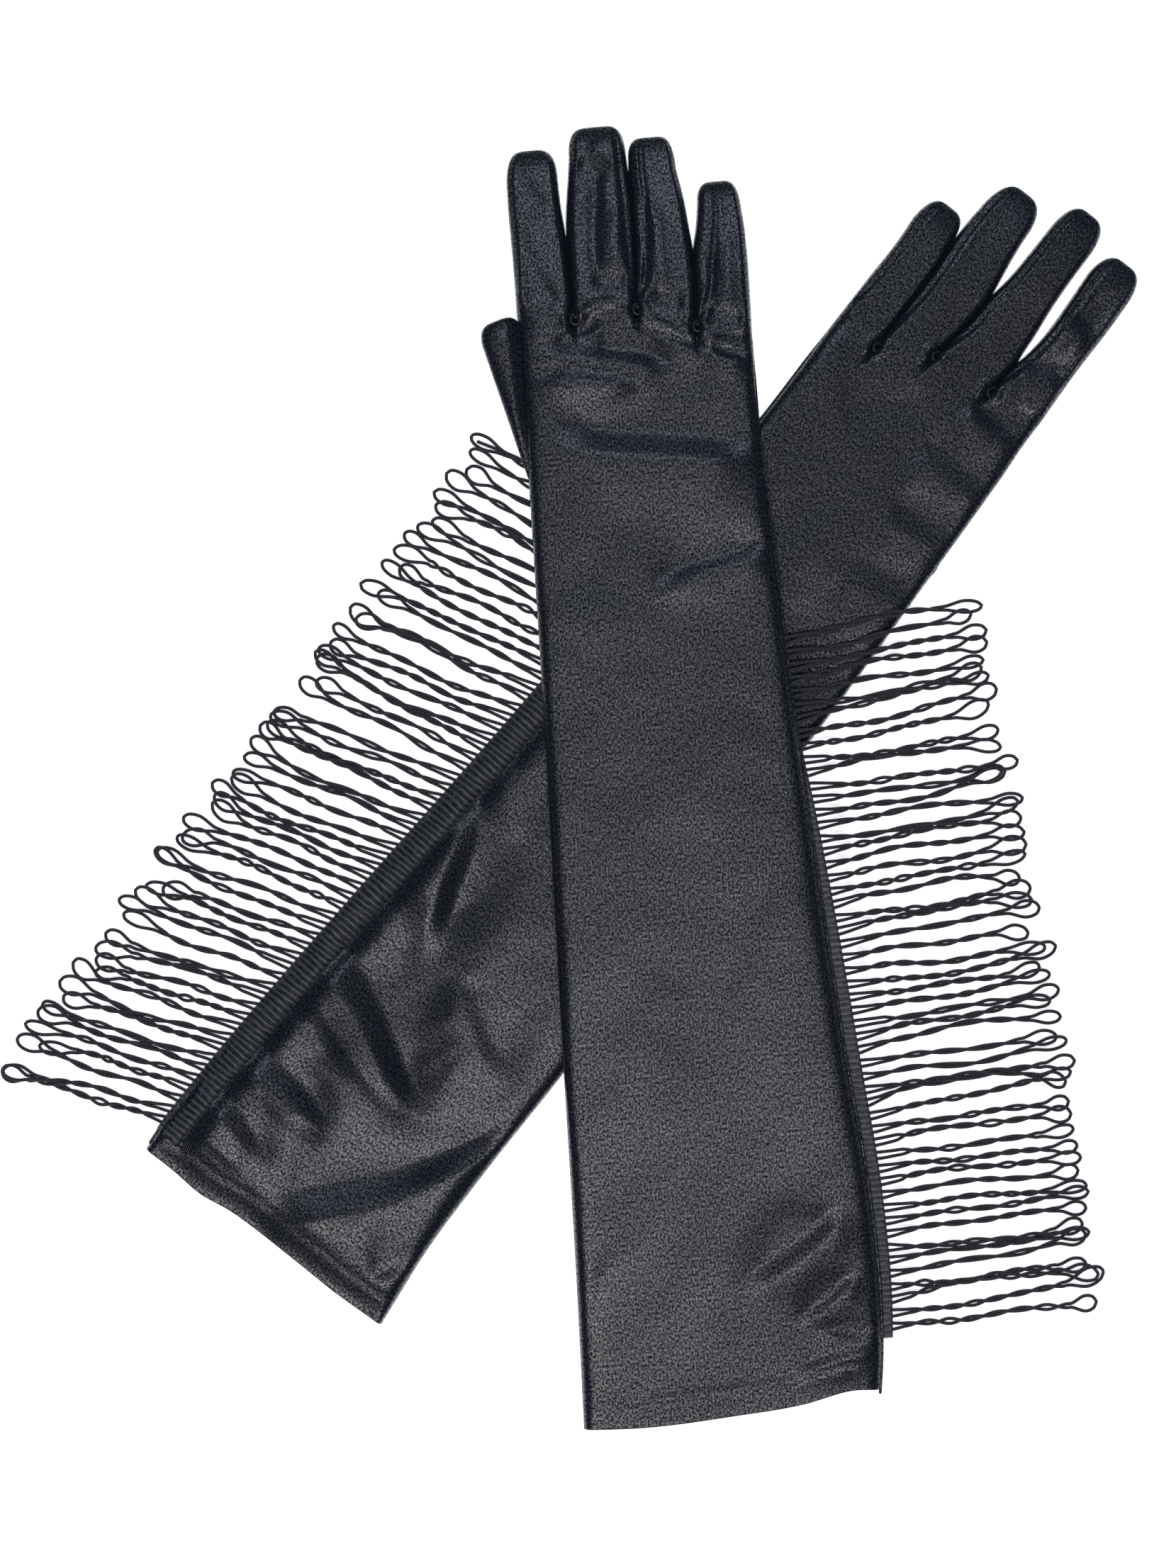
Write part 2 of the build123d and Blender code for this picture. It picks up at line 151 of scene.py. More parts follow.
LEFT_FINGERS = {
    "index": dict(
        low=stations((474, -45.0), (500, -43.7), (525, -43.4), (536, -42.8)),
        high=stations((471.5, -19.8), (476, -20.0), (486, -21.2), (492, -22.4), (501, -23.3),
            (520, -22.8), (536, -21.6)),
        cap=(533.0, 535.0), tip=548.6, square=0.56, seams=(-0.93, 0.62),
    ),
    "middle": dict(
        low=stations((471.5, -19.8), (476, -20.7), (486, -21.8), (492, -21.2), (500, -20.6), (516, -18.8),
            (535, -17.8), (544, -17.6)),
        high=stations((469, 8.0), (474, 7.4), (485, 5.5), (502, 4.7), (514, 3.4), (527, 3.0), (544, 2.9)),
        cap=(541.0, 541.0), tip=555.8, square=0.58, seams=(-0.93, 0.68),
    ),
    "ring": dict(
        low=stations((469, 8.0), (474, 6.7), (485, 4.7), (502, 4.3), (512, 5.7), (520, 7.0), (533, 8.6)),
        high=stations((456.5, 29.8), (462, 30.3), (472, 30.2), (490, 30.2), (505, 31.2), (514, 31.8),
            (526, 31.6), (533, 30.8)),
        cap=(530.0, 528.0), tip=546.0, square=0.58, seams=(-0.93, 0.72),
    ),
    "little": dict(
        low=stations((456.5, 29.8), (462, 29.4), (472, 29.2), (490, 29.4), (505, 30.6), (510, 32.4)),
        high=stations((458, 50.1), (475, 50.2), (497, 50.2), (510, 51.2)),
        cap=(507.0, 508.0), tip=521.6, square=0.52, seams=(-0.93, 0.60),
    ),
}

# Each fold is (path, height, width at both ends, drop): the cloth rises by the height along the
# path, and falls by the drop to each side of it, down towards the path's right.
RIGHT_FOLDS = (
    # the pucker under the fingers, from crotch to crotch
    (((-46, 458), (-36, 457), (-27, 461), (-19, 467), (-11, 469.5), (-5, 467.5), (0, 462.5)), 1.0,
        (1.7, 1.8), 0.0),
    (((-1, 462.5), (8, 460), (15, 456), (23, 452), (34, 449.4), (47, 446)), 1.1, (1.8, 1.7), 0.0),
    (((-14, 460), (-22, 458.4), (-29, 460)), -0.6, (2.2, 3.0), 1.0),
    (((30, 445), (22, 449), (8, 455.5)), -0.3, (2.2, 2.2), 0.7),
    (((46, 440.5), (38, 443), (29, 447.5)), -0.4, (2.2, 2.2), 0.8),
    # the roots of the fingers
    (((0, 480), (-8, 478), (-16, 482)), -1.2, (5.0, 4.0), 0.0),
    (((22, 466), (14, 469), (8, 474)), -1.0, (4.0, 4.0), 0.0),
    (((46, 457), (38, 459), (31, 463)), -1.0, (3.6, 3.6), 0.0),
    (((-30, 474), (-38, 471), (-46, 470)), -0.5, (5.0, 5.0), 0.5),
    # bands across the back of the hand
    (((14, 439), (6, 442.5), (-8, 446), (-22, 449.5), (-34, 451.6), (-47, 452.4)), 0.0, (3.8, 4.6), 1.6),
    (((0, 434), (-14, 437), (-27, 439.4), (-38, 439.6), (-48, 438.6)), 0.0, (3.0, 3.2), 1.05),
    (((36, 430), (20, 428), (4, 430)), 0.0, (5.0, 5.0), 0.3),
    (((46, 401.5), (38, 402.5), (22, 405), (7, 407.4), (-14, 410.4), (-30, 414), (-44, 417.5)), 0.0,
        (6.0, 6.6), 2.1),
    (((49, 362), (39.6, 359), (28, 356.5), (18, 354.4), (5, 350), (-6, 347)), 0.0, (3.8, 3.6), 1.25),
    (((-20, 352), (-34, 346), (-48, 338)), 0.0, (8.0, 8.0), 0.35),
    # long soft diagonals on the forearm
    (((48, 236), (34, 208), (20, 178), (6, 146), (-8, 114)), 0.0, (7.0, 8.0), 0.45),
    (((20, 300), (2, 272), (-14, 240)), 0.0, (12.0, 12.0), 0.35),
    (((-20, 190), (-36, 150), (-46, 110)), 0.0, (11.0, 11.0), 0.35),
    # the corner above the hem
    (((53, 84), (47, 74), (38, 67), (28, 61), (16, 54), (8, 47)), 0.0, (3.8, 4.8), 1.1),
    (((58, 54), (48, 44.5), (39, 38.5), (30, 33)), 0.0, (2.2, 2.8), 0.7),
    (((65, 27), (56, 26.6), (46, 28.6), (38, 31)), 0.0, (2.2, 2.2), 0.6),
    (((66, 20.8), (56, 20.6), (46, 18.8), (36, 16.0), (24, 13)), 0.0, (2.2, 2.4), 0.6),
    (((-44, 70), (-50, 58), (-54, 44), (-57, 26), (-58, 14)), -0.35, (4.2, 3.4), 0.0),
    (((-36, 66), (-44, 60), (-52, 56)), 0.0, (3.4, 3.4), 0.2),
    # folds that run up the fingers
    (((-9, 526), (-11, 510), (-12.5, 494), (-13, 476)), -0.9, (2.6, 2.2), 0.5),
    (((-3, 512), (-5, 494), (-5.5, 476)), 0.6, (1.8, 1.8), 0.0),
    (((-15, 534), (-9, 529), (-4, 522)), -0.3, (4.2, 4.2), 0.8),
    (((8.6, 516), (8.0, 500), (7.4, 482), (7.0, 468)), -0.9, (1.5, 1.5), 0.4),
    (((13, 508), (12.8, 490), (12.4, 470)), 0.4, (2.2, 2.2), 0.3),
    (((36, 488), (34.6, 472), (33.8, 458)), -0.8, (1.7, 1.7), 0.4),
    (((41, 494), (40.4, 476), (39.4, 460)), 0.4, (2.2, 2.2), 0.3),
    (((-30, 512), (-38, 508), (-46, 506)), 0.0, (5.0, 5.0), 0.4),
)

LEFT_FOLDS = (
    # the strong folds that run down from the header
    (((72, 111), (58, 110.5), (46, 109.5), (37, 107), (24.6, 102), (10.9, 95), (-3.7, 87.4), (-18, 84),
        (-30, 86)), 0.0, (10.0, 4.2), 2.7),
    (((54, 94), (44, 91), (28, 86), (10, 80), (-8, 76.5), (-22, 76)), 0.55, (3.0, 3.0), 0.0),
    (((70, 85), (54, 82), (40, 78.4), (30, 75), (10, 71)), 0.0, (4.2, 3.2), 0.7),
    (((72, 59), (55, 58), (38, 56.6), (24, 55.6), (11, 54), (0, 52)), 0.0, (9.0, 3.4), 2.2),
    (((50, 48.0), (38, 48.0), (26, 46.0), (4, 44)), 0.4, (2.2, 2.4), 0.0),
    (((72, 36), (54, 34), (42, 32), (34, 29.8), (27, 27.2), (17, 22)), 0.0, (5.8, 4.4), 1.7),
    (((50, 19.5), (40, 18.2), (30, 17.0), (22, 15.5)), 0.6, (1.8, 1.8), 0.0),
    (((58, 204), (46, 197), (37.5, 186), (32.8, 174), (28.8, 161.4), (23.5, 149.6), (12, 136)), 0.0,
        (6.6, 4.6), 1.75),
    (((4, 137), (-8, 131), (-14, 127), (-21, 122.5), (-33, 118.6), (-44, 116)), 0.0, (4.0, 4.4), 0.75),
    (((60, 150), (46, 142), (34, 132), (20, 122)), 0.0, (4.6, 4.0), 0.5),
    (((60, 230), (44, 222), (29, 212), (14, 200)), 0.0, (6.0, 6.0), 0.6),
    # the long curve above the hem
    (((10, 9), (6, 12.4), (-2, 18), (-14, 31.7), (-27, 46.6), (-37, 63.6), (-45, 79), (-51, 94),
        (-55, 106)), 0.0, (7.8, 4.6), 1.9),
    (((-44, 15), (-51, 24), (-55, 38)), -0.6, (4.0, 4.0), 0.5),
    # along the index side of the hand and finger
    (((-18, 374), (-34, 378), (-48, 382)), 0.0, (6.0, 6.0), 0.5),
    (((-16, 404), (-32, 406), (-47, 408)), 0.0, (5.0, 5.0), 0.7),
    (((-10, 434), (-28, 433), (-47, 434)), 0.0, (5.0, 5.0), 0.7),
    (((-16, 461), (-30, 459), (-45, 460)), 0.0, (3.8, 4.4), 0.9),
    (((-22, 486), (-32, 489), (-44, 494)), 0.0, (4.6, 5.0), 1.2),
    (((-24, 517), (-32, 515), (-42, 514)), 0.0, (4.4, 5.2), 1.2),
    (((24, 420), (6, 436), (-8, 446)), 0.0, (7.0, 7.0), 0.4),
)

# The hem is a chain of (across, along), an edge of (along, across), the underside of (along,
# height above the table) and header_out of (along, how far the header sticks out past the edge).
# A thumb lies with its middle at its level and is twice half thick; tuck is how far the palm
# gives way to it.
GLOVES = {
    "right": dict(
        side=1,
        seed=11,
        hem=stations((-64, -2.4), (-38, -3.6), (0, -2.2), (30, 0.2), (52, 4.2), (66, 3.0)),
        low_edge=stations((-6, -62.4), (40, -60.6), (80, -59.2), (145, -57.4), (231, -54.6),
                          (297, -52.4), (351, -51.0), (410, -49.6), (472, -48.6)),
        high_edge=stations((-6, 62.6), (16, 65.8), (38, 67.4), (85, 66.6), (141, 61.8), (231, 56.0),
                           (297, 52.6), (351, 50.6), (410, 48.4), (450, 49.2)),
        underside=stations((-20, 1.7), (20, 1.9), (60, 4.0), (118, 9.0), (150, 9.4), (300, 9.4),
                           (440, 9.2), (470, 8.0), (512, 3.4), (545, 0.5), (580, 0.3)),
        crotches=((-48.6, 472.0), (-25.3, 464.5), (1.2, 466.5), (25.8, 457.0), (49.2, 450.0)),
        fingers=RIGHT_FINGERS,
        folds=RIGHT_FOLDS,
        hem_lift=0.0,
        hem_roll=0.9,
        rumple=0.35,
        knot_side=1,
        knot_turn=7.0,
        thumb=dict(base=(-37.0, 396.0), tip=(-57.4, 466.0), width=(24.0, 19.0),
                   square=0.5, level=1.3, half=1.0, tuck=0.0),
        header=(24.0, 326.0),
        header_out=stations((0, 4.6), (210, 4.8), (250, 3.0), (285, 0.6), (340, 0.4)),
        fringe=dict(lean=(1.5, 6.0), length=(86.0, 85.0), below=True),
    ),
    "left": dict(
        side=-1,
        seed=23,
        hem=stations((-64, 1.8), (-38, 0.6), (-20, 0.8), (0, 0.8), (18, 0.2), (32, -1.9), (48, -1.2),
                     (64, -1.2)),
        low_edge=stations((-6, -62.4), (12, -60.4), (35, -57.8), (79, -56.4), (131, -56.6), (231, -54.0),
                          (297, -52.0), (351, -50.6), (391, -48.8), (421, -47.6), (474, -45.0)),
        high_edge=stations((-6, 62.0), (10, 63.4), (38, 63.4), (90, 61.6), (131, 59.4), (231, 53.6),
                           (297, 50.8), (351, 49.6), (401, 49.0), (460, 50.0)),
        underside=stations((-20, 0.25), (600, 0.25)),
        crotches=((-45.0, 474.0), (-19.8, 471.5), (8.0, 469.0), (29.8, 456.5), (50.1, 458.0)),
        fingers=LEFT_FINGERS,
        folds=LEFT_FOLDS,
        hem_lift=1.8,
        hem_roll=4.5,
        rumple=0.5,
        knot_side=-1,
        knot_turn=3.6,
        thumb=dict(base=(-37.0, 396.0), tip=(-29.0, 458.0), width=(24.0, 19.0),
                   square=0.6, level=0.78, half=0.6, tuck=1.15),
        header=(8.0, 337.0),
        header_out=stations((0, 1.1), (340, 1.1)),
        fringe=dict(lean=(-22.0, -9.0), length=(70.0, 89.0), below=False),
    ),
}


class Glove:
    """One glove's frame on the table and the shape of its cloth."""

    def __init__(self, name, spec):
        self.name = name
        self.__dict__.update(spec)
        mount = next(m for m in frame["record"]["mounts"] if m["name"] == f"{name}_cuff_opening")
        self.origin = np.array(mount["pos_m"][:2]) / MM
        self.along = -np.array(mount["axis"][:2])
        self.across = self.side * np.array([self.along[1], -self.along[0]])
        self.random = np.random.default_rng(self.seed)
        self.waves = self.make_waves()

    def make_waves(self):
        """Faint long ripples that all cloth has: direction, wavelength, phase, height."""
        waves = []
        for wavelength, height in ((70, 0.22), (46, 0.16), (31, 0.10), (19, 0.055), (11, 0.026)):
            for _ in range(4):
                turn = self.random.uniform(0, pi)
                phase = self.random.uniform(0, 2 * pi)
                spread = self.random.uniform(0.8, 1.25)
                rate = 2 * pi / (wavelength * spread)
                waves.append((cos(turn), sin(turn), rate, phase, height * self.rumple))
        return waves

    def point(self, u, v, z):
        """Points of the glove's frame as points of the row frame, in metres."""
        u, v, z = np.broadcast_arrays(np.asarray(u, float), v, z)
        flat = self.origin + u[..., None] * self.across + v[..., None] * self.along
        return np.concatenate([flat, z[..., None]], axis=-1) * MM

    def local(self, x, y):
        """Places of the row frame, in millimetres, in the glove's frame."""
        dx, dy = x - self.origin[0], y - self.origin[1]
        return (
            dx * self.across[0] + dy * self.across[1],
            dx * self.along[0] + dy * self.along[1],
        )

    def edge_share(self, u, v):
        """-1 at the index-side edge, +1 at the outer edge."""
        low, high = follow(self.low_edge, v), follow(self.high_edge, v)
        return np.clip((2 * u - low - high) / (high - low), -1, 1)

    def under(self, v):
        """Height of what the glove lies on."""
        return follow(self.underside, v)

    def relief(self, u, v):
        """The folds and ripples of the back."""
        z = np.zeros(np.broadcast(u, v).shape)
        for path, height, widths, drop in self.folds:
            z += fold(u, v, path, height, widths, drop)
        if not self.fringe["below"]:
            # the cloth is pressed down beside the header, and under it
            start, end = self.header
            gap = u - (header_edge(self, v) - HEADER_WIDTH + 0.8)
            on = ease((v - start + 4) / 8) * ease((end + 4 - v) / 8)
            z -= 2.2 * on * np.exp(-((gap / np.where(gap > 0, 30, 4.6)) ** 2))
        for cu, cv, rate, phase, height in self.waves:
            z += height * np.cos((cu * u + cv * v) * rate + phase)
        return z


def spline_points(path, per_span=7):
    """Points along a smooth path through the given ones."""
    path = np.array(path, float)
    steps = np.concatenate([[0], np.cumsum(np.linalg.norm(np.diff(path, axis=0), axis=1))])
    at = np.linspace(0, steps[-1], per_span * (len(path) - 1) + 1)
    return np.stack([follow((steps, path[:, i]), at) for i in range(path.shape[1])], axis=1)


def fold(u, v, path, height, widths, drop):
    """One fold of the cloth along a path, as a height. It fades at both ends."""
    line = spline_points(path)
    result = np.zeros(np.broadcast(u, v).shape)
    reach = 8 * max(widths)
    near = (
        (u > line[:, 0].min() - reach) & (u < line[:, 0].max() + reach)
        & (v > line[:, 1].min() - reach) & (v < line[:, 1].max() + reach)
    )
    if not near.any():
        return result
    pu, pv = np.broadcast_to(u, result.shape)[near], np.broadcast_to(v, result.shape)[near]
    distance, share, side = np.full(pu.shape, 1e9), np.zeros(pu.shape), np.ones(pu.shape)
    total = len(line) - 1
    for i in range(total):
        a, b = line[i], line[i + 1]
        d = b - a
        s = np.clip(((pu - a[0]) * d[0] + (pv - a[1]) * d[1]) / (d @ d), 0, 1)
        du, dv = pu - a[0] - s * d[0], pv - a[1] - s * d[1]
        r = np.hypot(du, dv)
        closer = r < distance
        distance = np.where(closer, r, distance)
        share = np.where(closer, (i + s) / total, share)
        side = np.where(closer, np.sign(d[0] * dv - d[1] * du), side)
    q = distance / (widths[0] + (widths[1] - widths[0]) * share)
    beyond = np.maximum(q - 1, 0)
    slower = 1 + 0.3 * beyond
    fade = ease((share / 0.22 + 0.12) / slower) * ease((1 - share) / 0.3 / slower)
    ridge = height * np.exp(-q * q)
    slope = np.where(q < 1, q * (1.25 - 0.25 * q**4), np.exp(-((beyond / 3.4) ** 2)))
    fall = drop * side * slope
    result[near] = fade * (ridge + fall)
    return result


# ------------------------------------------------------------------ cloth surfaces
def crown(t, fullness=3.2):
    """Cross-section of a glove that lies flat: level in the middle, round at the folds."""
    return np.maximum(1 - np.abs(t) ** fullness, 0) ** 0.5


def edge_mask(t):
    """1 over the cloth, 0 at its folded edges, where the back and the palm meet."""
    return 1 - np.abs(t) ** 16


def finger_columns():
    """Places of the mesh columns across a finger, from -1 to 1, closer at its edges."""
    x = np.linspace(-1, 1, FINGER_COLUMNS + 1)
    return np.sin(x * pi / 2) * 0.6 + x * 0.4


def hand_grid(glove):
    """Across and along places of the arm's and hand's mesh, and each point's edge shares."""
    inner = finger_columns()
    share = (inner + 1) / 2
    top_u, top_v, finger_t = [], [], []
    for (u0, v0), (u1, v1) in zip(glove.crotches, glove.crotches[1:]):
        skip = 0 if not top_u else 1
        top_u += list(u0 + (u1 - u0) * share[skip:])
        top_v += list(v0 + (v1 - v0) * share[skip:])
        finger_t += list(inner[skip:])
    top_u, top_v, finger_t = map(np.array, (top_u, top_v, finger_t))
    columns = len(top_u)
    x = np.linspace(-1, 1, columns)
    arm_share = (np.sin(x * pi / 2) * 0.35 + x * 0.65 + 1) / 2
    top_share = (top_u - top_u[0]) / (top_u[-1] - top_u[0])
    rows = np.linspace(0, 1, ARM_ROWS + 1)[:, None]
    hem_u = glove.low_edge[1][0] + (glove.high_edge[1][0] - glove.low_edge[1][0]) * arm_share
    hem_v = follow(glove.hem, hem_u)
    v = hem_v + (top_v - hem_v) * rows
    mix = ease((v - top_v + 95) / 80)
    across = arm_share * (1 - mix) + top_share * mix
    low, high = follow(glove.low_edge, v), follow(glove.high_edge, v)
    u = low + (high - low) * across
    near_top = ease((v - top_v + 30) / 30)
    straight = top_u * np.ones_like(v)
    u = u * (1 - near_top) + straight * near_top
    t = 2 * across - 1
    reach = ease((v - top_v + 13) / 13)
    return u, v, t, np.broadcast_to(finger_t, v.shape), reach


def crotch_pucker(glove, u, v):
    """The gathered cloth and the small stitched knot at each crotch."""
    z = np.zeros_like(u)
    for cu, cv in glove.crotches[1:4]:
        r = np.hypot(u - cu, v - cv + 1.5)
        swirl = np.arctan2(v - cv + 1.5, u - cu)
        z += 0.9 * np.exp(-((r - 3.6) / 1.5) ** 2) * (0.75 + 0.25 * np.cos(3 * swirl + r))
        z -= 1.2 * np.exp(-(r / 1.9) ** 2)
    return z


def hem_shape(glove, u, v):
    """The turned hem is a little thicker, with a stitched groove where it ends."""
    from_hem = v - follow(glove.hem, u)
    thick = 0.35 * (1 - ease((from_hem - HEM_DEPTH + 1.6) / 2.6))
    dimple = 0.5 + 0.5 * np.cos(2 * pi * u / STITCH_PITCH)
    groove = -(0.42 + 0.4 * dimple) * np.exp(-((from_hem - HEM_DEPTH + 1.0) / 1.0) ** 2)
    roll = -glove.hem_roll * np.exp(-(from_hem / 10.0) ** 2)
    return thick + groove + roll


def back_height(glove, u, v, t, finger_t, reach):
    """Height of the back over the arm and hand."""
    lower = glove.under(v) + CLOTH_LOWER
    rise = CLOTH_UPPER + (FINGER_UPPER - CLOTH_UPPER) * ease((v - 380) / 80)
    rise = rise + glove.hem_lift * (1 - ease(v / 70))
    arch = crown(t, 24) * (1 - reach) + crown(finger_t, 8) * crown(t, 9) ** 0.5 * reach
    mask = edge_mask(t) * (1 - reach) + edge_mask(finger_t) * reach
    folds = glove.relief(u, v) + crotch_pucker(glove, u, v)
    return lower + rise * arch + folds * mask + hem_shape(glove, u, v) * edge_mask(t)


def palm_height(glove, u, v, t, finger_t, reach):
    """Height of the palm side, which rests on what is under it."""
    lower = glove.under(v) + CLOTH_LOWER
    arch = crown(t, 3.4) * (1 - reach) + crown(finger_t) * reach
    ripple = 0.25 * np.sin(u / 9 + v / 23) * np.sin(v / 17 - u / 13) * edge_mask(t)
    # the tuck that the thumb lies in, open on the index side
    tuck = glove.thumb["tuck"] * ease((-u - 8) / 7) * ease((v - 372) / 9) * ease((471 - v) / 10)
    ripple = ripple * (1 - reach) * 0.8 * (1 - np.minimum(tuck, 1))
    return lower - PALM_SAG * arch * (1 - tuck) + ripple


def arm_cloth(glove):
    """Places across and along of the arm and hand, and the heights of the back and the palm there."""
    u, v, t, finger_t, reach = hand_grid(glove)
    top = back_height(glove, u, v, t, finger_t, reach)
    bottom = palm_height(glove, u, v, t, finger_t, reach)
    return u, v, top, np.where(np.abs(t) >= 1, top, np.minimum(bottom, top - CLOTH_GAP))


def finger_grid(glove, finger, number):
    """Places across and along of one finger, each point's edge share, and its share of the height."""
    inner = finger_columns()
    (u0, v0), (u1, v1) = glove.crotches[number], glove.crotches[number + 1]
    rows = np.linspace(0, 1, FINGER_ROWS + 1)[:, None]
    low_cap, high_cap = finger["cap"]
    low_v = v0 + (low_cap - v0) * rows
    high_v = v1 + (high_cap - v1) * rows
    low_u, high_u = follow(finger["low"], low_v), follow(finger["high"], high_v)
    low_u[0], high_u[0] = u0, u1
    share = (inner + 1) / 2
    u = low_u + (high_u - low_u) * share
    v = low_v + (high_v - low_v) * share
    height = np.ones_like(u)
    angle = np.linspace(0, pi / 2, CAP_ROWS + 1)[1:, None]
    shrink = np.cos(angle) ** finger["square"]
    shrink[-1] = 0
    middle, half = (low_u[-1, 0] + high_u[-1, 0]) / 2, (high_u[-1, 0] - low_u[-1, 0]) / 2
    cap_u = middle + half * inner * shrink
    base_v = low_cap + (high_cap - low_cap) * share
    cap_v = base_v + (finger["tip"] - base_v) * np.sin(angle)
    u, v = np.concatenate([u, cap_u]), np.concatenate([v, cap_v])
    height = np.concatenate([height, np.cos(angle) ** 0.75 * np.ones_like(cap_u)])
    height[-1] = 0
    return u, v, np.broadcast_to(inner, u.shape), height


def seam_groove(finger, t, from_root):
    """The seams that join a finger's back to its side strip. They start at the crotches."""
    z = np.zeros(np.broadcast(t, from_root).shape)
    for seam in finger["seams"]:
        line = seam + (np.sign(seam) - seam) * np.exp(-from_root / 14)
        pucker = 0.8 + 0.2 * np.cos(2 * pi * from_root / 2.6)
        z -= 0.95 * pucker * np.exp(-(((t - line) / 0.06) ** 2))
        for beside in (-0.15, 0.15):
            z += 0.3 * np.exp(-(((t - line - beside) / 0.075) ** 2))
    return z


def finger_heights(glove, finger, u, v, t, height):
    """Heights of the back and the palm side of a finger."""
    lower = glove.under(v) + CLOTH_LOWER
    relief = glove.relief(u, v) + crotch_pucker(glove, u, v)
    from_root = v - v[0]
    groove = seam_groove(finger, t, from_root) * ease(from_root / 6)
    top = lower + (FINGER_UPPER * crown(t, 8) + (relief + groove) * edge_mask(t)) * height
    bottom = lower - PALM_SAG * crown(t) * height
    return top, bottom


# ------------------------------------------------------------------ meshes
def grid_faces(rows, columns, flip=False):
    """Quads over a grid of points."""
    index = np.arange(rows * columns).reshape(rows, columns)
    quads = np.stack([index[:-1, :-1], index[:-1, 1:], index[1:, 1:], index[1:, :-1]], axis=-1)
    quads = quads.reshape(-1, 4)
    return quads[:, ::-1] if flip else quads


class Patch:
    """A piece of cloth as a grid, before it becomes a mesh."""

    def __init__(self, points, flat, flip):
        self.shape = points.shape[:2]
        self.points = points.reshape(-1, 3)
        self.flat = flat.reshape(-1, 2)
        self.faces = grid_faces(*self.shape, flip)
        self.normals = None


def shared_normals(patches):
    """Gives the patches one set of smooth normals, so that no seam shows where they meet."""
    points = np.concatenate([p.points for p in patches])
    offsets = np.cumsum([0] + [len(p.points) for p in patches])
    faces = np.concatenate([p.faces + o for p, o in zip(patches, offsets)])
    keys = np.round(points, 6)
    _, index = np.unique(keys, axis=0, return_inverse=True)
    index = index.reshape(-1)
    corners = points[faces]
    normal = np.cross(corners[:, 2] - corners[:, 0], corners[:, 3] - corners[:, 1])
    total = np.zeros((index.max() + 1, 3))
    for corner in range(4):
        np.add.at(total, index[faces[:, corner]], normal)
    total /= np.maximum(np.linalg.norm(total, axis=1, keepdims=True), 1e-12)
    for patch, start, end in zip(patches, offsets, offsets[1:]):
        patch.normals = total[index[start:end]]


def make_mesh(name, points, faces, material, flat=None, normals=None):
    """A smooth mesh object. flat gives its UV map, in metres over the cloth."""
    used, index = np.unique(faces, return_inverse=True)
    points = np.asarray(points)[used]
    faces = index.reshape(np.shape(faces))
    mesh = bpy.data.meshes.new(name)
    mesh.vertices.add(len(points))
    mesh.vertices.foreach_set("co", points.astype(np.float32).ravel())
    count, sides = faces.shape
    mesh.loops.add(count * sides)
    mesh.loops.foreach_set("vertex_index", faces.astype(np.int32).ravel())
    mesh.polygons.add(count)
    mesh.polygons.foreach_set("loop_start", np.arange(0, count * sides, sides, dtype=np.int32))
    mesh.polygons.foreach_set("use_smooth", np.ones(count, bool))
    mesh.update(calc_edges=True)
    if flat is not None:
        layer = mesh.uv_layers.new(name="cloth")
        layer.data.foreach_set("uv", flat[used][faces.ravel()].astype(np.float32).ravel())
    if normals is not None:
        mesh.normals_split_custom_set_from_vertices(normals[used].tolist())
    mesh.materials.append(material)
    obj = bpy.data.objects.new(name, mesh)
    bpy.context.scene.collection.objects.link(obj)
    return obj


def join_loose_ends(obj, distance=0.00001):
    """Welds doubled points, such as those of a finger's tip."""
    work = bmesh.new()
    work.from_mesh(obj.data)
    bmesh.ops.remove_doubles(work, verts=work.verts, dist=distance)
    work.to_mesh(obj.data)
    work.free()


# ------------------------------------------------------------------ materials
class Look:
    """A material while it is made: its nodes, its links and its shader."""

    def __init__(self, name):
        self.material = bpy.data.materials.new(name)
        self.material.use_nodes = True
        self.nodes, self.links = self.material.node_tree.nodes, self.material.node_tree.links
        self.shader = self.nodes["Principled BSDF"]

    def add(self, kind, **values):
        """A node. An underscore in a value's name stands for a space in its socket's name."""
        node = self.nodes.new("ShaderNode" + kind)
        for key, value in values.items():
            if hasattr(node, key):
                setattr(node, key, value)
            else:
                node.inputs[key.replace("_", " ")].default_value = value
        return node

    def send(self, value, socket):
        """Drives one of the shader's sockets."""
        self.links.new(value, self.shader.inputs[socket])

    def texture(self, kind, vector, **values):
        """The value of a texture that is laid out by a vector."""
        node = self.add("Tex" + kind, **values)
        self.links.new(vector, node.inputs["Vector"])
        return node.outputs["Fac"]

    def stretched(self, vector, scale):
        """The vector, scaled."""
        node = self.add("Mapping", Scale=scale)
        self.links.new(vector, node.inputs["Vector"])
        return node.outputs["Vector"]

    def ranged(self, value, source, target):
        """The value, moved from one range to another."""
        low, high = source
        node = self.add("MapRange", From_Min=low, From_Max=high, To_Min=target[0], To_Max=target[1])
        self.links.new(value, node.inputs["Value"])
        return node.outputs["Result"]

    def colour(self, value, dark, bright, start=0.0, end=1.0):
        """Base colour from dark to bright, as the value goes from start to end."""
        node = self.add("ValToRGB")
        low, high = node.color_ramp.elements
        low.position, high.position = start, end
        low.color, high.color = (*dark, 1), (*bright, 1)
        self.links.new(value, node.inputs["Fac"])
        self.send(node.outputs["Color"], "Base Color")

    def bump(self, height, strength, distance):
        """Makes the surface look rough by a height."""
        node = self.add("Bump", Strength=strength, Distance=distance)
        self.links.new(height, node.inputs["Height"])
        self.send(node.outputs["Normal"], "Normal")

    def finish(self, **values):
        """Sets the shader's even values and gives the material."""
        for key, value in values.items():
            self.shader.inputs[key.replace("_", " ")].default_value = value
        return self.material


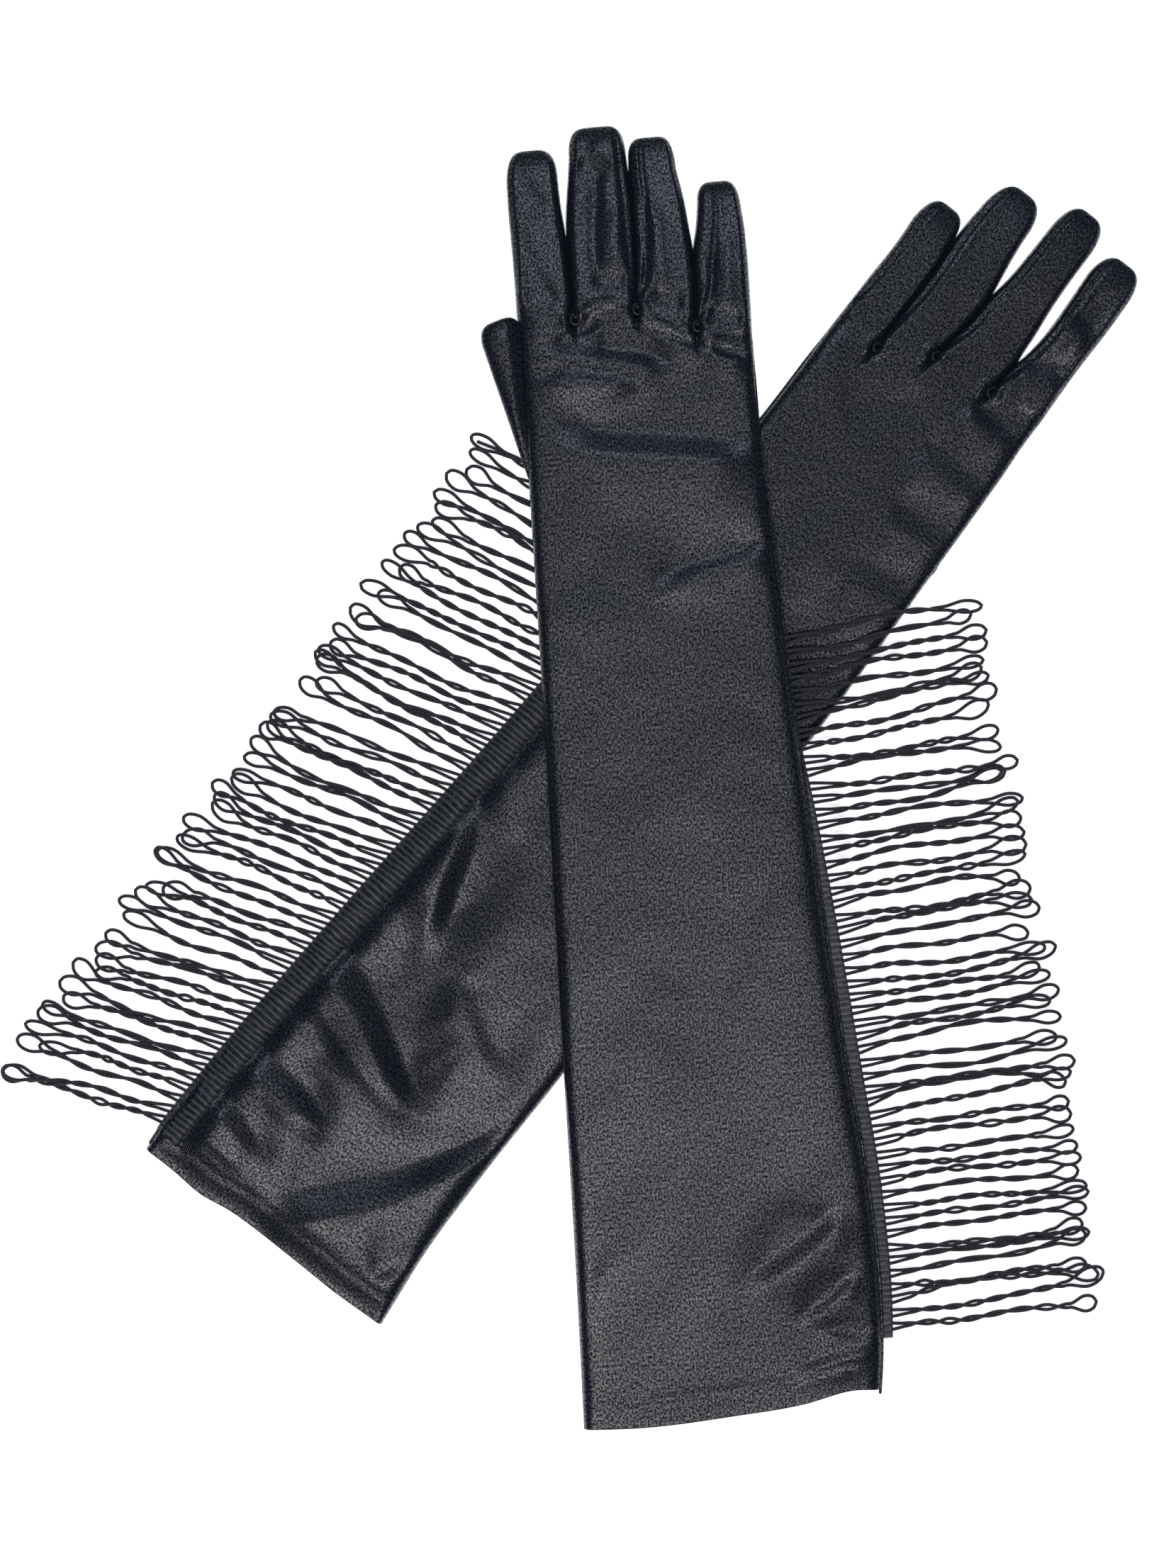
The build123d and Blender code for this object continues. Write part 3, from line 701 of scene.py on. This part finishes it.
def satin_material():
    """Black satin: a long soft highlight over threads that shine unevenly."""
    look = Look("black_satin")
    place = look.add("TexCoord").outputs["UV"]
    along_cloth = look.stretched(place, (1.0, 0.7, 1.0))
    sparkle = look.texture("Noise", along_cloth, Scale=1250.0, Detail=3.0, Roughness=0.72)
    cloud = look.texture("Noise", place, Scale=24.0, Detail=3.0, Roughness=0.6)
    look.colour(sparkle, (0.0036, 0.0048, 0.0080), (0.0082, 0.0086, 0.0112), 0.40, 0.74)
    look.send(look.ranged(sparkle, (0.44, 0.665), (0.03, 1.0)), "Specular IOR Level")
    look.send(look.ranged(cloud, (0.3, 0.7), (0.335, 0.375)), "Roughness")
    look.send(look.add("Tangent", direction_type="UV_MAP", uv_map="cloth").outputs["Tangent"], "Tangent")
    look.bump(sparkle, 0.22, 0.0003)
    return look.finish(Anisotropic=0.5, Anisotropic_Rotation=0.25, Sheen_Weight=0.03, Sheen_Roughness=0.4,
                       Sheen_Tint=(0.55, 0.70, 1.0, 1))


def cord_material():
    """Matte black twisted cord: slanting plies along its length."""
    look = Look("fringe_cord")
    place = look.add("TexCoord").outputs
    plies = look.texture("Wave", place["UV"], wave_type="BANDS", bands_direction="DIAGONAL",
                         Scale=0.42, Distortion=0.6, Detail=1.0)
    fuzz = look.texture("Noise", place["Object"], Scale=2600.0, Detail=2.0)
    look.colour(plies, (0.003, 0.003, 0.004), (0.022, 0.021, 0.026))
    heights = look.add("Math", operation="ADD")
    look.links.new(plies, heights.inputs[0])
    look.links.new(fuzz, heights.inputs[1])
    look.bump(heights.outputs["Value"], 0.6, 0.0003)
    return look.finish(Roughness=0.72, Sheen_Weight=0.08)


def header_material():
    """Ribbed tape: painted highlights on the ribs and painted shade in the grooves between them, over a
    fine thread grain.
    """
    look = Look("header_tape")
    place = look.add("TexCoord").outputs["UV"]
    along_tape = look.stretched(place, (0.35, 1.0, 1.0))
    thread = look.texture("Noise", along_tape, Scale=850.0, Detail=3.0, Roughness=0.65)
    # bands that follow the ribs, to paint light on their crests and shade in the grooves
    rib = look.texture("Wave", place, wave_type="BANDS", bands_direction="Y",
                       Scale=2 * pi / (20 * RIB_PITCH * MM), Phase_Offset=pi)
    share = look.add("Math", operation="MULTIPLY_ADD")
    share.inputs[1].default_value = 0.3
    look.links.new(rib, share.inputs[0])
    look.links.new(thread, share.inputs[2])
    # base colour: painted rib highlight and shade, mixed with the thread grain
    look.colour(share.outputs["Value"], (0.0015, 0.0017, 0.0028), (0.060, 0.060, 0.070), 0.52, 0.90)
    look.bump(thread, 0.8, 0.0006)
    return look.finish(Roughness=0.5)


def thread_material():
    """Black sewing thread with a fine twist."""
    look = Look("sewing_thread")
    twist = look.texture("Wave", look.add("TexCoord").outputs["Object"], Scale=900.0)
    look.colour(twist, (0.003, 0.003, 0.004), (0.014, 0.014, 0.017))
    return look.finish(Roughness=0.45)


SATIN = satin_material()
CORD = cord_material()
HEADER = header_material()
THREAD = thread_material()


# ------------------------------------------------------------------ fixing pieces to their gloves
def claim(glove, obj, slot, *nodes):
    """Fixes a piece to its glove, and hides the CAD nodes that it stands for."""
    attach(obj, f"{glove.name}_glove")
    if nodes:
        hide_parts(*(f"{glove.name}_{node}" for node in nodes))
    return obj


def declare_cloth(obj):
    """Reads the area of each of a piece's faces; nothing more is done with them."""
    areas = np.zeros(len(obj.data.polygons), np.float32)
    obj.data.polygons.foreach_get("area", areas)


# ------------------------------------------------------------------ building the cloth
def build_patches(glove):
    """The cloth of the arm, hand and fingers, both sides, with one set of normals."""
    u, v, top, bottom = arm_cloth(glove)
    flat = np.stack([u, v], axis=-1) * MM
    corner = np.zeros(v.shape, bool)
    corner[-1, FINGER_COLUMNS:-1:FINGER_COLUMNS] = True
    middle = glove.under(v) + CLOTH_LOWER
    top, bottom = np.where(corner, middle, top), np.where(corner, middle, bottom)
    flip = glove.side < 0
    patches = {
        "back": Patch(glove.point(u, v, top), flat, flip),
        "palm": Patch(glove.point(u, v, bottom), flat, not flip),
    }
    for number, (name, finger) in enumerate(glove.fingers.items()):
        fu, fv, ft, height = finger_grid(glove, finger, number)
        high, low = finger_heights(glove, finger, fu, fv, ft, height)
        columns = slice(FINGER_COLUMNS * number, FINGER_COLUMNS * (number + 1) + 1)
        high[0], low[0] = top[-1, columns], bottom[-1, columns]
        fu[0], fv[0] = u[-1, columns], v[-1, columns]
        low[:, [0, -1]] = high[:, [0, -1]]
        finger_flat = np.stack([fu, fv], axis=-1) * MM
        patches[name] = Patch(glove.point(fu, fv, high), finger_flat, flip)
        patches[name + "_palm"] = Patch(glove.point(fu, fv, low), finger_flat, not flip)
    shared_normals(list(patches.values()))
    return patches


def patch_object(glove, patch, name, faces=None):
    """A satin mesh of a patch, or of some of its faces."""
    chosen = patch.faces if faces is None else faces
    return make_mesh(f"{glove.name}_{name}", patch.points, chosen, SATIN, patch.flat, patch.normals)


def bend_with(obj):
    """Bakes a finger piece's placement into its mesh."""
    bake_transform(obj)


def build_fingers(glove, patches):
    """Each finger's back, palm and the side strip between them."""
    for name, finger in glove.fingers.items():
        patch = patches[name]
        inner = finger_columns()
        cells = (inner[:-1] + inner[1:]) / 2
        low, high = finger["seams"]
        is_back = (cells > low) & (cells < high)
        keep = np.tile(is_back, patch.shape[0] - 1)
        back = patch_object(glove, patch, f"{name}_finger_back", patch.faces[keep])
        sides = patch_object(glove, patch, f"{name}_finger_fourchette", patch.faces[~keep])
        palm = patch_object(glove, patches[name + "_palm"], f"{name}_finger_palm")
        for obj, node in ((back, "back"), (sides, "fourchette"), (palm, "palm")):
            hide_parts(f"{glove.name}_{name}_{node}")
            declare_cloth(obj)
            bend_with(obj)


# ------------------------------------------------------------------ hem
def build_hem(glove):
    """The cloth turned in at the cuff: round the rim and back inside."""
    u, v, top, bottom = arm_cloth(glove)
    rows = int(HEM_DEPTH / (glove.crotches[0][1] / ARM_ROWS)) + 1
    rim_u, rim_v = u[0], v[0]
    steps = np.linspace(0, pi, 7)[1:]
    drop = HEM_THICKNESS * (1 - np.cos(steps)) / 2
    out = -HEM_THICKNESS / 2 * np.sin(steps)
    narrow = 1 - HEM_THICKNESS / CUFF_HALF
    layers = []
    for height, down in ((top, 1), (bottom, -1)):
        lines = [np.stack([rim_u, rim_v, height[0]], axis=-1)]
        for d, o in zip(drop, out):
            shrink = 1 - (1 - narrow) * d / HEM_THICKNESS
            room = np.minimum(d, (top[0] - bottom[0]) * HEM_SHARE)
            lines.append(np.stack([rim_u * shrink, rim_v + o, height[0] - down * room], axis=-1))
        for row in range(1, rows):
            room = np.minimum(HEM_THICKNESS, (top[row] - bottom[row]) * HEM_SHARE)
            lines.append(np.stack([u[row] * narrow, v[row], height[row] - down * room], axis=-1))
        layers.append(np.array(lines))
    whole = np.concatenate([layers[0], layers[1][:, ::-1]], axis=1)
    points = glove.point(whole[..., 0], whole[..., 1], whole[..., 2])
    flat = whole[..., :2] * MM
    faces = grid_faces(*points.shape[:2], flip=glove.side > 0)
    hem = make_mesh(f"{glove.name}_hem", points.reshape(-1, 3), faces, SATIN, flat.reshape(-1, 2))
    join_loose_ends(hem)
    return claim(glove, hem, "black_satin", "hem_facing")


# ------------------------------------------------------------------ small sewn pieces
def back_at(glove, u, v):
    """Height of the back at places on the arm."""
    u, v = np.asarray(u, float), np.asarray(v, float)
    t = glove.edge_share(u, v)
    return back_height(glove, u, v, t, np.zeros_like(t), np.zeros_like(t))


def tube(points, radius, sides=6):
    """Points, faces and UVs of a round tube along a line of points, in millimetres."""
    points = np.asarray(points, float)
    tangent = np.gradient(points, axis=0)
    tangent /= np.linalg.norm(tangent, axis=1, keepdims=True)
    up = np.array([0, 0, 1.0])
    sideways = np.cross(tangent, up)
    sideways /= np.maximum(np.linalg.norm(sideways, axis=1, keepdims=True), 1e-6)
    normal = np.cross(sideways, tangent)
    radius = np.broadcast_to(radius, len(points))
    angle = np.linspace(0, 2 * pi, sides, endpoint=False)
    ring = (
        np.cos(angle)[None, :, None] * sideways[:, None] + np.sin(angle)[None, :, None] * normal[:, None]
    ) * radius[:, None, None]
    vertices = (points[:, None] + ring).reshape(-1, 3)
    rows = np.arange(len(points) - 1)[:, None] * sides
    j = np.arange(sides)
    k = (j + 1) % sides
    faces = np.stack([rows + j, rows + k, rows + sides + k, rows + sides + j], axis=-1).reshape(-1, 4)
    length = np.concatenate([[0], np.cumsum(np.linalg.norm(np.diff(points, axis=0), axis=1))])
    flat = np.stack(np.broadcast_arrays(length[:, None], angle[None] / (2 * pi) * 3), axis=-1)
    for ring_start in (0, (len(points) - 1) * sides):
        end = [ring_start + i for i in (0, sides // 4, sides // 2, 3 * sides // 4)]
        faces = np.concatenate([faces, [end]])
    return vertices, faces, flat.reshape(-1, 2)


def many_tubes(name, lines, radius, material, sides=6):
    """One mesh of many tubes."""
    vertices, faces, flats, count = [], [], [], 0
    for line in lines:
        v, f, flat = tube(line, radius, sides)
        vertices.append(v)
        faces.append(f + count)
        flats.append(flat)
        count += len(v)
    vertices, faces, flats = map(np.concatenate, (vertices, faces, flats))
    return make_mesh(name, vertices * MM, faces, material, flats)


def sew(glove, name, node, spots, direction, length=2.1, radius=0.2, lift=0.08):
    """A row of stitches: each is a short thread that dips into the cloth at both ends."""
    lines = []
    for u, v, z in spots:
        reach = np.linspace(-0.5, 0.5, 6) * length
        dip = lift - 0.9 * radius * (2 * np.abs(reach) / length) ** 3
        lines.append(glove.point(u + reach * direction[0], v + reach * direction[1], z + dip) / MM)
    obj = many_tubes(f"{glove.name}_{name}", lines, radius, THREAD)
    return claim(glove, obj, "sewing_thread", node)


def build_hem_stitches(glove):
    """The row of stitches that holds the turned hem."""
    u = np.arange(-57, 58, STITCH_PITCH)
    v = follow(glove.hem, u) + HEM_DEPTH - 1.0
    return sew(glove, "hem_thread", "hem_stitches", zip(u, v, back_at(glove, u, v)), (1, 0))


def build_tack(glove):
    """Close stitches at the outer corner of the hem."""
    u = follow(glove.high_edge, 8) - np.array([15.5, 14.6, 13.7, 12.8])
    v = np.full(4, 10.5)
    spots = zip(u, v, back_at(glove, u, v) + 0.35)
    return sew(glove, "hem_tack", "hem_bar_tack", spots, (0.25, 1), length=4.2, radius=0.32, lift=0.25)


# ------------------------------------------------------------------ fringe header
def header_edge(glove, v):
    """The outer edge of the header, where the loops come out."""
    return follow(glove.high_edge, v) + follow(glove.header_out, v)


def rib_place(v, s):
    """Where a place of the header is in its run of ribs, which are not quite even."""
    return v + 0.5 * np.sin(v / 9.0) + 0.25 * np.sin(v / 3.7 + 3 * s)


def header_surface(glove, v, s):
    """Across place and height of the header: s is 0 at its inner edge and 1 at its outer edge."""
    outer = header_edge(glove, v)
    u = outer - HEADER_WIDTH * (1 - s)
    swell = np.maximum(1 - np.abs(2 * s - 1) ** 2.6, 0) ** 0.6
    rib = np.abs(np.cos(pi * rib_place(v, s) / RIB_PITCH)) ** 0.7
    edge = glove.under(v) + CLOTH_LOWER
    if glove.fringe["below"]:
        return u, edge - 1.2 - swell * 0.5 + 0.45 * rib * (s > 0.5)
    base = back_at(glove, np.minimum(u, follow(glove.high_edge, v)), v)
    inner = back_at(glove, outer - HEADER_WIDTH, v)
    rest = base * (1 - s) + (edge - 0.3) * s
    sag = np.maximum(inner - rest, 0) * 0.25 * (1 - s)
    return u, rest + sag - 0.4 * (1 - s) ** 6 + swell * (HEADER_SWELL + RIB_HEIGHT * rib)


def build_header(glove):
    """The ribbed tape that the loops are sewn to."""
    start, end = glove.header
    v = np.arange(start, end, RIB_PITCH / 9)[:, None]
    s = np.linspace(0, 1, 17)[None]
    v, s = np.broadcast_arrays(v, s)
    u, z = header_surface(glove, v, s)
    u = u + (0.35 * np.sin(v / 13) + 0.2 * np.sin(v / 5.1)) * (1 - s)
    top = glove.point(u, v, z)
    faces = grid_faces(*v.shape, flip=(glove.side < 0) != glove.fringe["below"])
    flat = np.stack([u, rib_place(v, s)], axis=-1) * MM
    obj = make_mesh(f"{glove.name}_header", top.reshape(-1, 3), faces, HEADER, flat.reshape(-1, 2))
    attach(obj, f"{glove.name}_glove")
    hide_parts(f"{glove.name}_fringe_header")
    return obj


def build_header_stitches(glove):
    """The row of stitches along the header's inner edge."""
    start, end = glove.header
    v = np.arange(start + 2, end - 2, STITCH_PITCH)
    if glove.fringe["below"]:
        u = follow(glove.high_edge, v) - 2.2
        z = back_at(glove, u, v)
    else:
        s = np.full_like(v, 0.07)
        u, z = header_surface(glove, v, s)
    return sew(glove, "header_thread", "header_stitches", zip(u, v, z), (0, 1))


# ------------------------------------------------------------------ fringe
def ground(u_world, v_world, others):
    """Height of what lies under a place: the table, or another glove's back."""
    height = np.full(np.shape(u_world), 0.0)
    for other in others:
        u, v = other.local(u_world, v_world)
        low, high = follow(other.low_edge, v), follow(other.high_edge, v)
        inside = (v > 0) & (v < 470) & (u > low) & (u < high)
        top = back_at(other, np.clip(u, low, high), v)
        height = np.where(inside, np.maximum(height, top), height)
    return height


def strand_centre(glove, random, number, count, others):
    """The middle line of one strand, and the frame that its legs are wound in."""
    start, end = glove.header
    share = (number + 0.5) / count
    along = start + LAST_LOOP / 2 + (end - start - LAST_LOOP) * share
    lean_a, lean_b = glove.fringe["lean"]
    length_a, length_b = glove.fringe["length"]
    clump = 2.2 * sin(number * 0.9) + 1.6 * sin(number * 0.37 + 1)
    lean = lean_a + (lean_b - lean_a) * share + clump * 0.55 + random.normal(0, 1.1)
    length = length_a + (length_b - length_a) * share + 2.0 * sin(number * 1.7) + random.normal(0, 2.2)
    bow = random.normal(0, 1.3)
    curl = random.normal(0, 2.2)
    wiggle, phase = random.uniform(0.3, 0.9), random.uniform(0, 2 * pi)
    s = np.linspace(0, 1, 72)
    out = s * length
    sideways = bow * np.sin(pi * s) + curl * s**4 + wiggle * np.sin(2 * pi * s * 1.7 + phase) * ease(s * 3)
    turn = radians(lean)
    u = header_edge(glove, along) - 0.8 + out * cos(turn) - sideways * sin(turn)
    v = along + out * sin(turn) + sideways * cos(turn)
    root = header_surface(glove, np.array([along]), np.array([1.0]))[1][0]
    places = glove.point(u, v, 0) / MM
    under = ground(places[:, 0], places[:, 1], others)
    gap = np.abs(out[:, None] - out[None])
    drape = np.max(under[None] - DROOP * gap, axis=1)
    layer = (0.0, 1.25, 0.6, 1.9)[number % 4]
    rest = np.maximum(drape, 0) + CORD_RADIUS + 0.15 + layer * ease((s - 0.2) / 0.4)
    fall = ease(s / 0.24)
    z = (root + 0.3) * (1 - fall) + rest * fall
    z = np.maximum(z, rest)
    z[0] = root + 0.3
    return u, v, z, turn, length


def loop_line(glove, random, number, count, others):
    """One loop of the fringe, as points: out along one leg, round the end and back."""
    u, v, z, turn, length = strand_centre(glove, random, number, count, others)
    s = np.linspace(0, 1, len(u))
    eye = random.uniform(11.0, 17.0) / length
    eye_half = random.uniform(2.4, 3.9)
    turns = random.choice([2.0, 2.5, 3.0, 3.5])
    start_turn = random.uniform(0.07, 0.16)
    legs_end = 1 - eye
    phase = np.clip((s - start_turn) / (legs_end - start_turn), 0, 1)
    angle = 2 * pi * turns * phase
    loose = random.uniform(0, 0.55)
    loose = loose * np.sin(pi * phase * random.uniform(1.2, 3.2) + random.uniform(0, pi)) ** 6
    angle = angle + 0.55 * np.sin(2 * pi * phase * random.uniform(0.6, 1.6)) * np.sin(pi * phase)
    spread = 1.35 - 0.68 * ease(s / start_turn) + loose * ease(s / start_turn)
    side = spread * np.cos(angle)
    lift = 0.68 * np.sin(angle) * ease(s * 8)
    e = np.clip((s - legs_end) / eye, 0, 1)
    closing = np.sqrt(np.maximum(1 - ((e - 0.6) / 0.4).clip(0, 1) ** 2, 0))
    opening = 0.75 + (eye_half - 0.75) * ease(e / 0.6)
    side = np.where(s > legs_end, np.sign(np.cos(2 * pi * turns)) * opening * closing, side)
    lift = np.where(s > legs_end, 0.0, lift)
    tilt = random.normal(0, 0.5)
    lift = lift + tilt * ease(e) * (1 - closing * 0.3)
    du, dv = -sin(turn), cos(turn)
    legs = []
    for sign in (1, -1):
        height = np.maximum(z + sign * lift, CORD_RADIUS + 0.05)
        legs.append(glove.point(u + sign * side * du, v + sign * side * dv, height) / MM)
    line = np.concatenate([legs[0], legs[1][-2::-1]])
    return resample(line, 1.2)


def resample(line, spacing):
    """The same line with evenly spaced points."""
    step = np.linalg.norm(np.diff(line, axis=0), axis=1)
    keep = np.concatenate([[True], step > 1e-4])
    line = line[keep]
    length = np.concatenate([[0], np.cumsum(np.linalg.norm(np.diff(line, axis=0), axis=1))])
    at = np.linspace(0, length[-1], max(int(length[-1] / spacing), 4))
    return np.stack([np.interp(at, length, line[:, i]) for i in range(3)], axis=1)


def build_fringe(glove, others):
    """All the loops, and on the glove whose header lies on top the one cut strand."""
    start, end = glove.header
    count = int((end - start - LAST_LOOP) / LOOP_PITCH)
    lines = [loop_line(glove, glove.random, n, count, others) for n in range(count)]
    if not glove.fringe["below"]:
        u, v, z, _, _ = strand_centre(glove, glove.random, count, count, others)
        lines.append(resample(glove.point(u, v, z) / MM, 1.35))
    obj = many_tubes(f"{glove.name}_fringe", lines, CORD_RADIUS, CORD, CORD_SIDES)
    return claim(glove, obj, "fringe_cord", "fringe_loops")


def build_crotch_knots(glove, patches):
    """The small curl of cloth where two fingers' seams end."""
    lines = []
    grid = patches["back"].points.reshape(*patches["back"].shape, 3) / MM
    for number in range(1, 4):
        root = grid[-1, FINGER_COLUMNS * number]
        a = np.linspace(0, glove.knot_turn, 34)
        r = 2.7 - 1.55 * a / glove.knot_turn
        u = glove.knot_side * (1.5 + r * np.cos(a + 1.9))
        v = -1.2 + r * np.sin(a + 1.9)
        rise = 2.6 + 0.5 * np.sin(a / glove.knot_turn * pi)
        flat = root[:2] + u[:, None] * glove.across + v[:, None] * glove.along
        lines.append(np.column_stack([flat, root[2] + rise]))
    obj = many_tubes(f"{glove.name}_crotch_knots", lines, 0.78, SATIN, 8)
    return claim(glove, obj, "black_satin")


# ------------------------------------------------------------------ seam welt and thumb
def build_outer_seam(glove):
    """The narrow welt where the back and the palm are sewn together."""
    v = np.arange(1.0, glove.crotches[-1][1] - 1, 1.3)
    u = follow(glove.high_edge, v) + 0.05
    z = glove.under(v) + CLOTH_LOWER + 0.05 + 0.08 * np.sin(v / 3.1)
    line = glove.point(u, v, z) / MM
    radius = (0.62 + 0.07 * np.cos(2 * pi * v / 2.6)) * (0.12 + 0.88 * ease((v[-1] - v) / 26))
    vertices, faces, flat = tube(line, radius, 8)
    obj = make_mesh(f"{glove.name}_outer_seam_welt", vertices * MM, faces, SATIN, flat * MM)
    return claim(glove, obj, "black_satin", "outer_seam")


def build_thumb(glove):
    """The thumb, pressed flat under the palm: back, palm and the strip between them."""
    thumb = glove.thumb
    base, tip = np.array(thumb["base"]), np.array(thumb["tip"])
    axis = tip - base
    length = np.linalg.norm(axis)
    axis /= length
    normal = np.array([axis[1], -axis[0]])
    inner = finger_columns()
    angle_low = np.linspace(-pi / 2, 0, 10)[:, None]
    angle_high = np.linspace(0, pi / 2, CAP_ROWS + 1)[1:, None]
    body = np.linspace(0, 1, 46)[1:-1, None]
    w0, w1 = thumb["width"]
    low_cap, high_cap = w0 / 2, 10.0
    s = np.concatenate([low_cap * np.sin(angle_low), (length - high_cap) * body,
                        length - high_cap + high_cap * np.sin(angle_high)])
    half = np.concatenate([w0 / 2 * np.cos(angle_low), w0 / 2 + (w1 - w0) / 2 * body,
                           w1 / 2 * np.cos(angle_high) ** thumb["square"]])
    full = np.concatenate([np.cos(angle_low) ** 0.6, np.ones_like(body), np.cos(angle_high) ** 0.8])
    half[[0, -1]] = 0
    full[[0, -1]] = 0
    u = base[0] + axis[0] * s + normal[0] * half * inner
    v = base[1] + axis[1] * s + normal[1] * half * inner
    t = np.broadcast_to(inner, u.shape)
    middle = glove.under(np.full_like(u, base[1])) + thumb["level"]
    cloth = thumb["half"]
    crease = 0.35 * np.sin(v / 5.0 + u / 7.0) * edge_mask(t)
    visible = ease((-u - 46) / 8)
    rise = cloth + (2.6 * visible if glove.side > 0 else 0)
    top = middle + (rise * crown(t) + crease * 0.6 * cloth) * full
    bottom = middle - cloth * crown(t) * full
    flat = np.stack([u, v], axis=-1) * MM
    flip = glove.side < 0
    back = Patch(glove.point(u, v, top), flat, flip)
    palm = Patch(glove.point(u, v, bottom), flat, not flip)
    shared_normals([back, palm])
    cells = (inner[:-1] + inner[1:]) / 2
    keep = np.tile(np.abs(cells) < 0.86, back.shape[0] - 1)
    pieces = (
        ("thumb_back", patch_object(glove, back, "thumb_back_cloth", back.faces[keep])),
        ("thumb_gusset", patch_object(glove, back, "thumb_gusset_cloth", back.faces[~keep])),
        ("thumb_palm", patch_object(glove, palm, "thumb_palm_cloth")),
    )
    for node, obj in pieces:
        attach(obj, f"{glove.name}_thumb")
        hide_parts(f"{glove.name}_{node}")
        declare_cloth(obj)


# ------------------------------------------------------------------ the pair
def build_glove(glove, others):
    """One glove. Its fringe may lie over the other gloves."""
    patches = build_patches(glove)
    body = f"{glove.name}_glove"
    back = patch_object(glove, patches["back"], "arm_back")
    palm = patch_object(glove, patches["palm"], "arm_palm")
    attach(back, body)
    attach(palm, body)
    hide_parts(f"{glove.name}_back_panel", f"{glove.name}_index_side_fold")
    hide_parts(f"{glove.name}_palm_panel")
    hem = build_hem(glove)
    hem_thread = build_hem_stitches(glove)
    tack = build_tack(glove)
    header = build_header(glove)
    header_thread = build_header_stitches(glove)
    fringe = build_fringe(glove, others)
    welt = build_outer_seam(glove)
    knots = build_crotch_knots(glove, patches)
    declare_cloth(back)
    declare_cloth(palm)
    declare_cloth(header)
    build_fingers(glove, patches)
    build_thumb(glove)


left = Glove("left", GLOVES["left"])
right = Glove("right", GLOVES["right"])
build_glove(left, ())
build_glove(right, (left,))


# ------------------------------------------------------------------ floor, light and camera
def build_floor():
    """A bright white table."""
    mesh = bpy.data.meshes.new("floor")
    signs = ((-1, -1), (1, -1), (1, 1), (-1, 1))
    corners = [(x * FLOOR_HALF, y * FLOOR_HALF, FLOOR_LEVEL) for x, y in signs]
    mesh.from_pydata(corners, [], [(0, 1, 2, 3)])
    look = Look("floor")
    grain = look.add("TexNoise", Scale=3.0)
    look.colour(grain.outputs["Fac"], (0.90, 0.90, 0.90), (0.94, 0.94, 0.94))
    mesh.materials.append(look.finish(Roughness=1.0, Specular_IOR_Level=0.0,
                                      Emission_Color=(1, 1, 1, 1), Emission_Strength=0.75))
    floor = bpy.data.objects.new("floor", mesh)
    bpy.context.scene.collection.objects.link(floor)


def add_light(name, place, target, size, power, colour):
    """A rectangular lamp that faces its target."""
    data = bpy.data.lights.new(name, "AREA")
    data.shape = "RECTANGLE"
    data.size, data.size_y = size
    data.energy = power
    data.color = colour
    obj = bpy.data.objects.new(name, data)
    obj.location = place
    obj.rotation_euler = (Vector(target) - Vector(place)).to_track_quat("-Z", "Y").to_euler()
    bpy.context.scene.collection.objects.link(obj)


def build_stage():
    """The floor, the lamps, the room's light and the camera straight above."""
    build_floor()
    add_light("near", (0.20, -0.50, 2.0), (0.05, -0.2, 0), (0.4, 0.5), 9.2, WARM)
    add_light("low_left", (-0.40, -0.78, 2.0), (-0.1, -0.2, 0), (0.4, 0.4), 15.5, WARM)
    add_light("far", (0.0, 1.10, 2.0), (-0.03, 0.15, 0), (0.7, 0.4), 11.5, COOL)
    world = bpy.data.worlds.new("studio")
    world.use_nodes = True
    world.node_tree.nodes["Background"].inputs["Color"].default_value = (0.52, 0.72, 1.0, 1)
    world.node_tree.nodes["Background"].inputs["Strength"].default_value = 0.23
    bpy.context.scene.world = world
    data = bpy.data.cameras.new("camera")
    data.lens = 85
    data.sensor_width = 36
    camera = bpy.data.objects.new("camera", data)
    camera.location = (*VIEW_CENTRE, VIEW_HEIGHT)
    bpy.context.scene.collection.objects.link(camera)
    bpy.context.scene.camera = camera
    bpy.context.scene.view_settings.view_transform = "Standard"


build_stage()
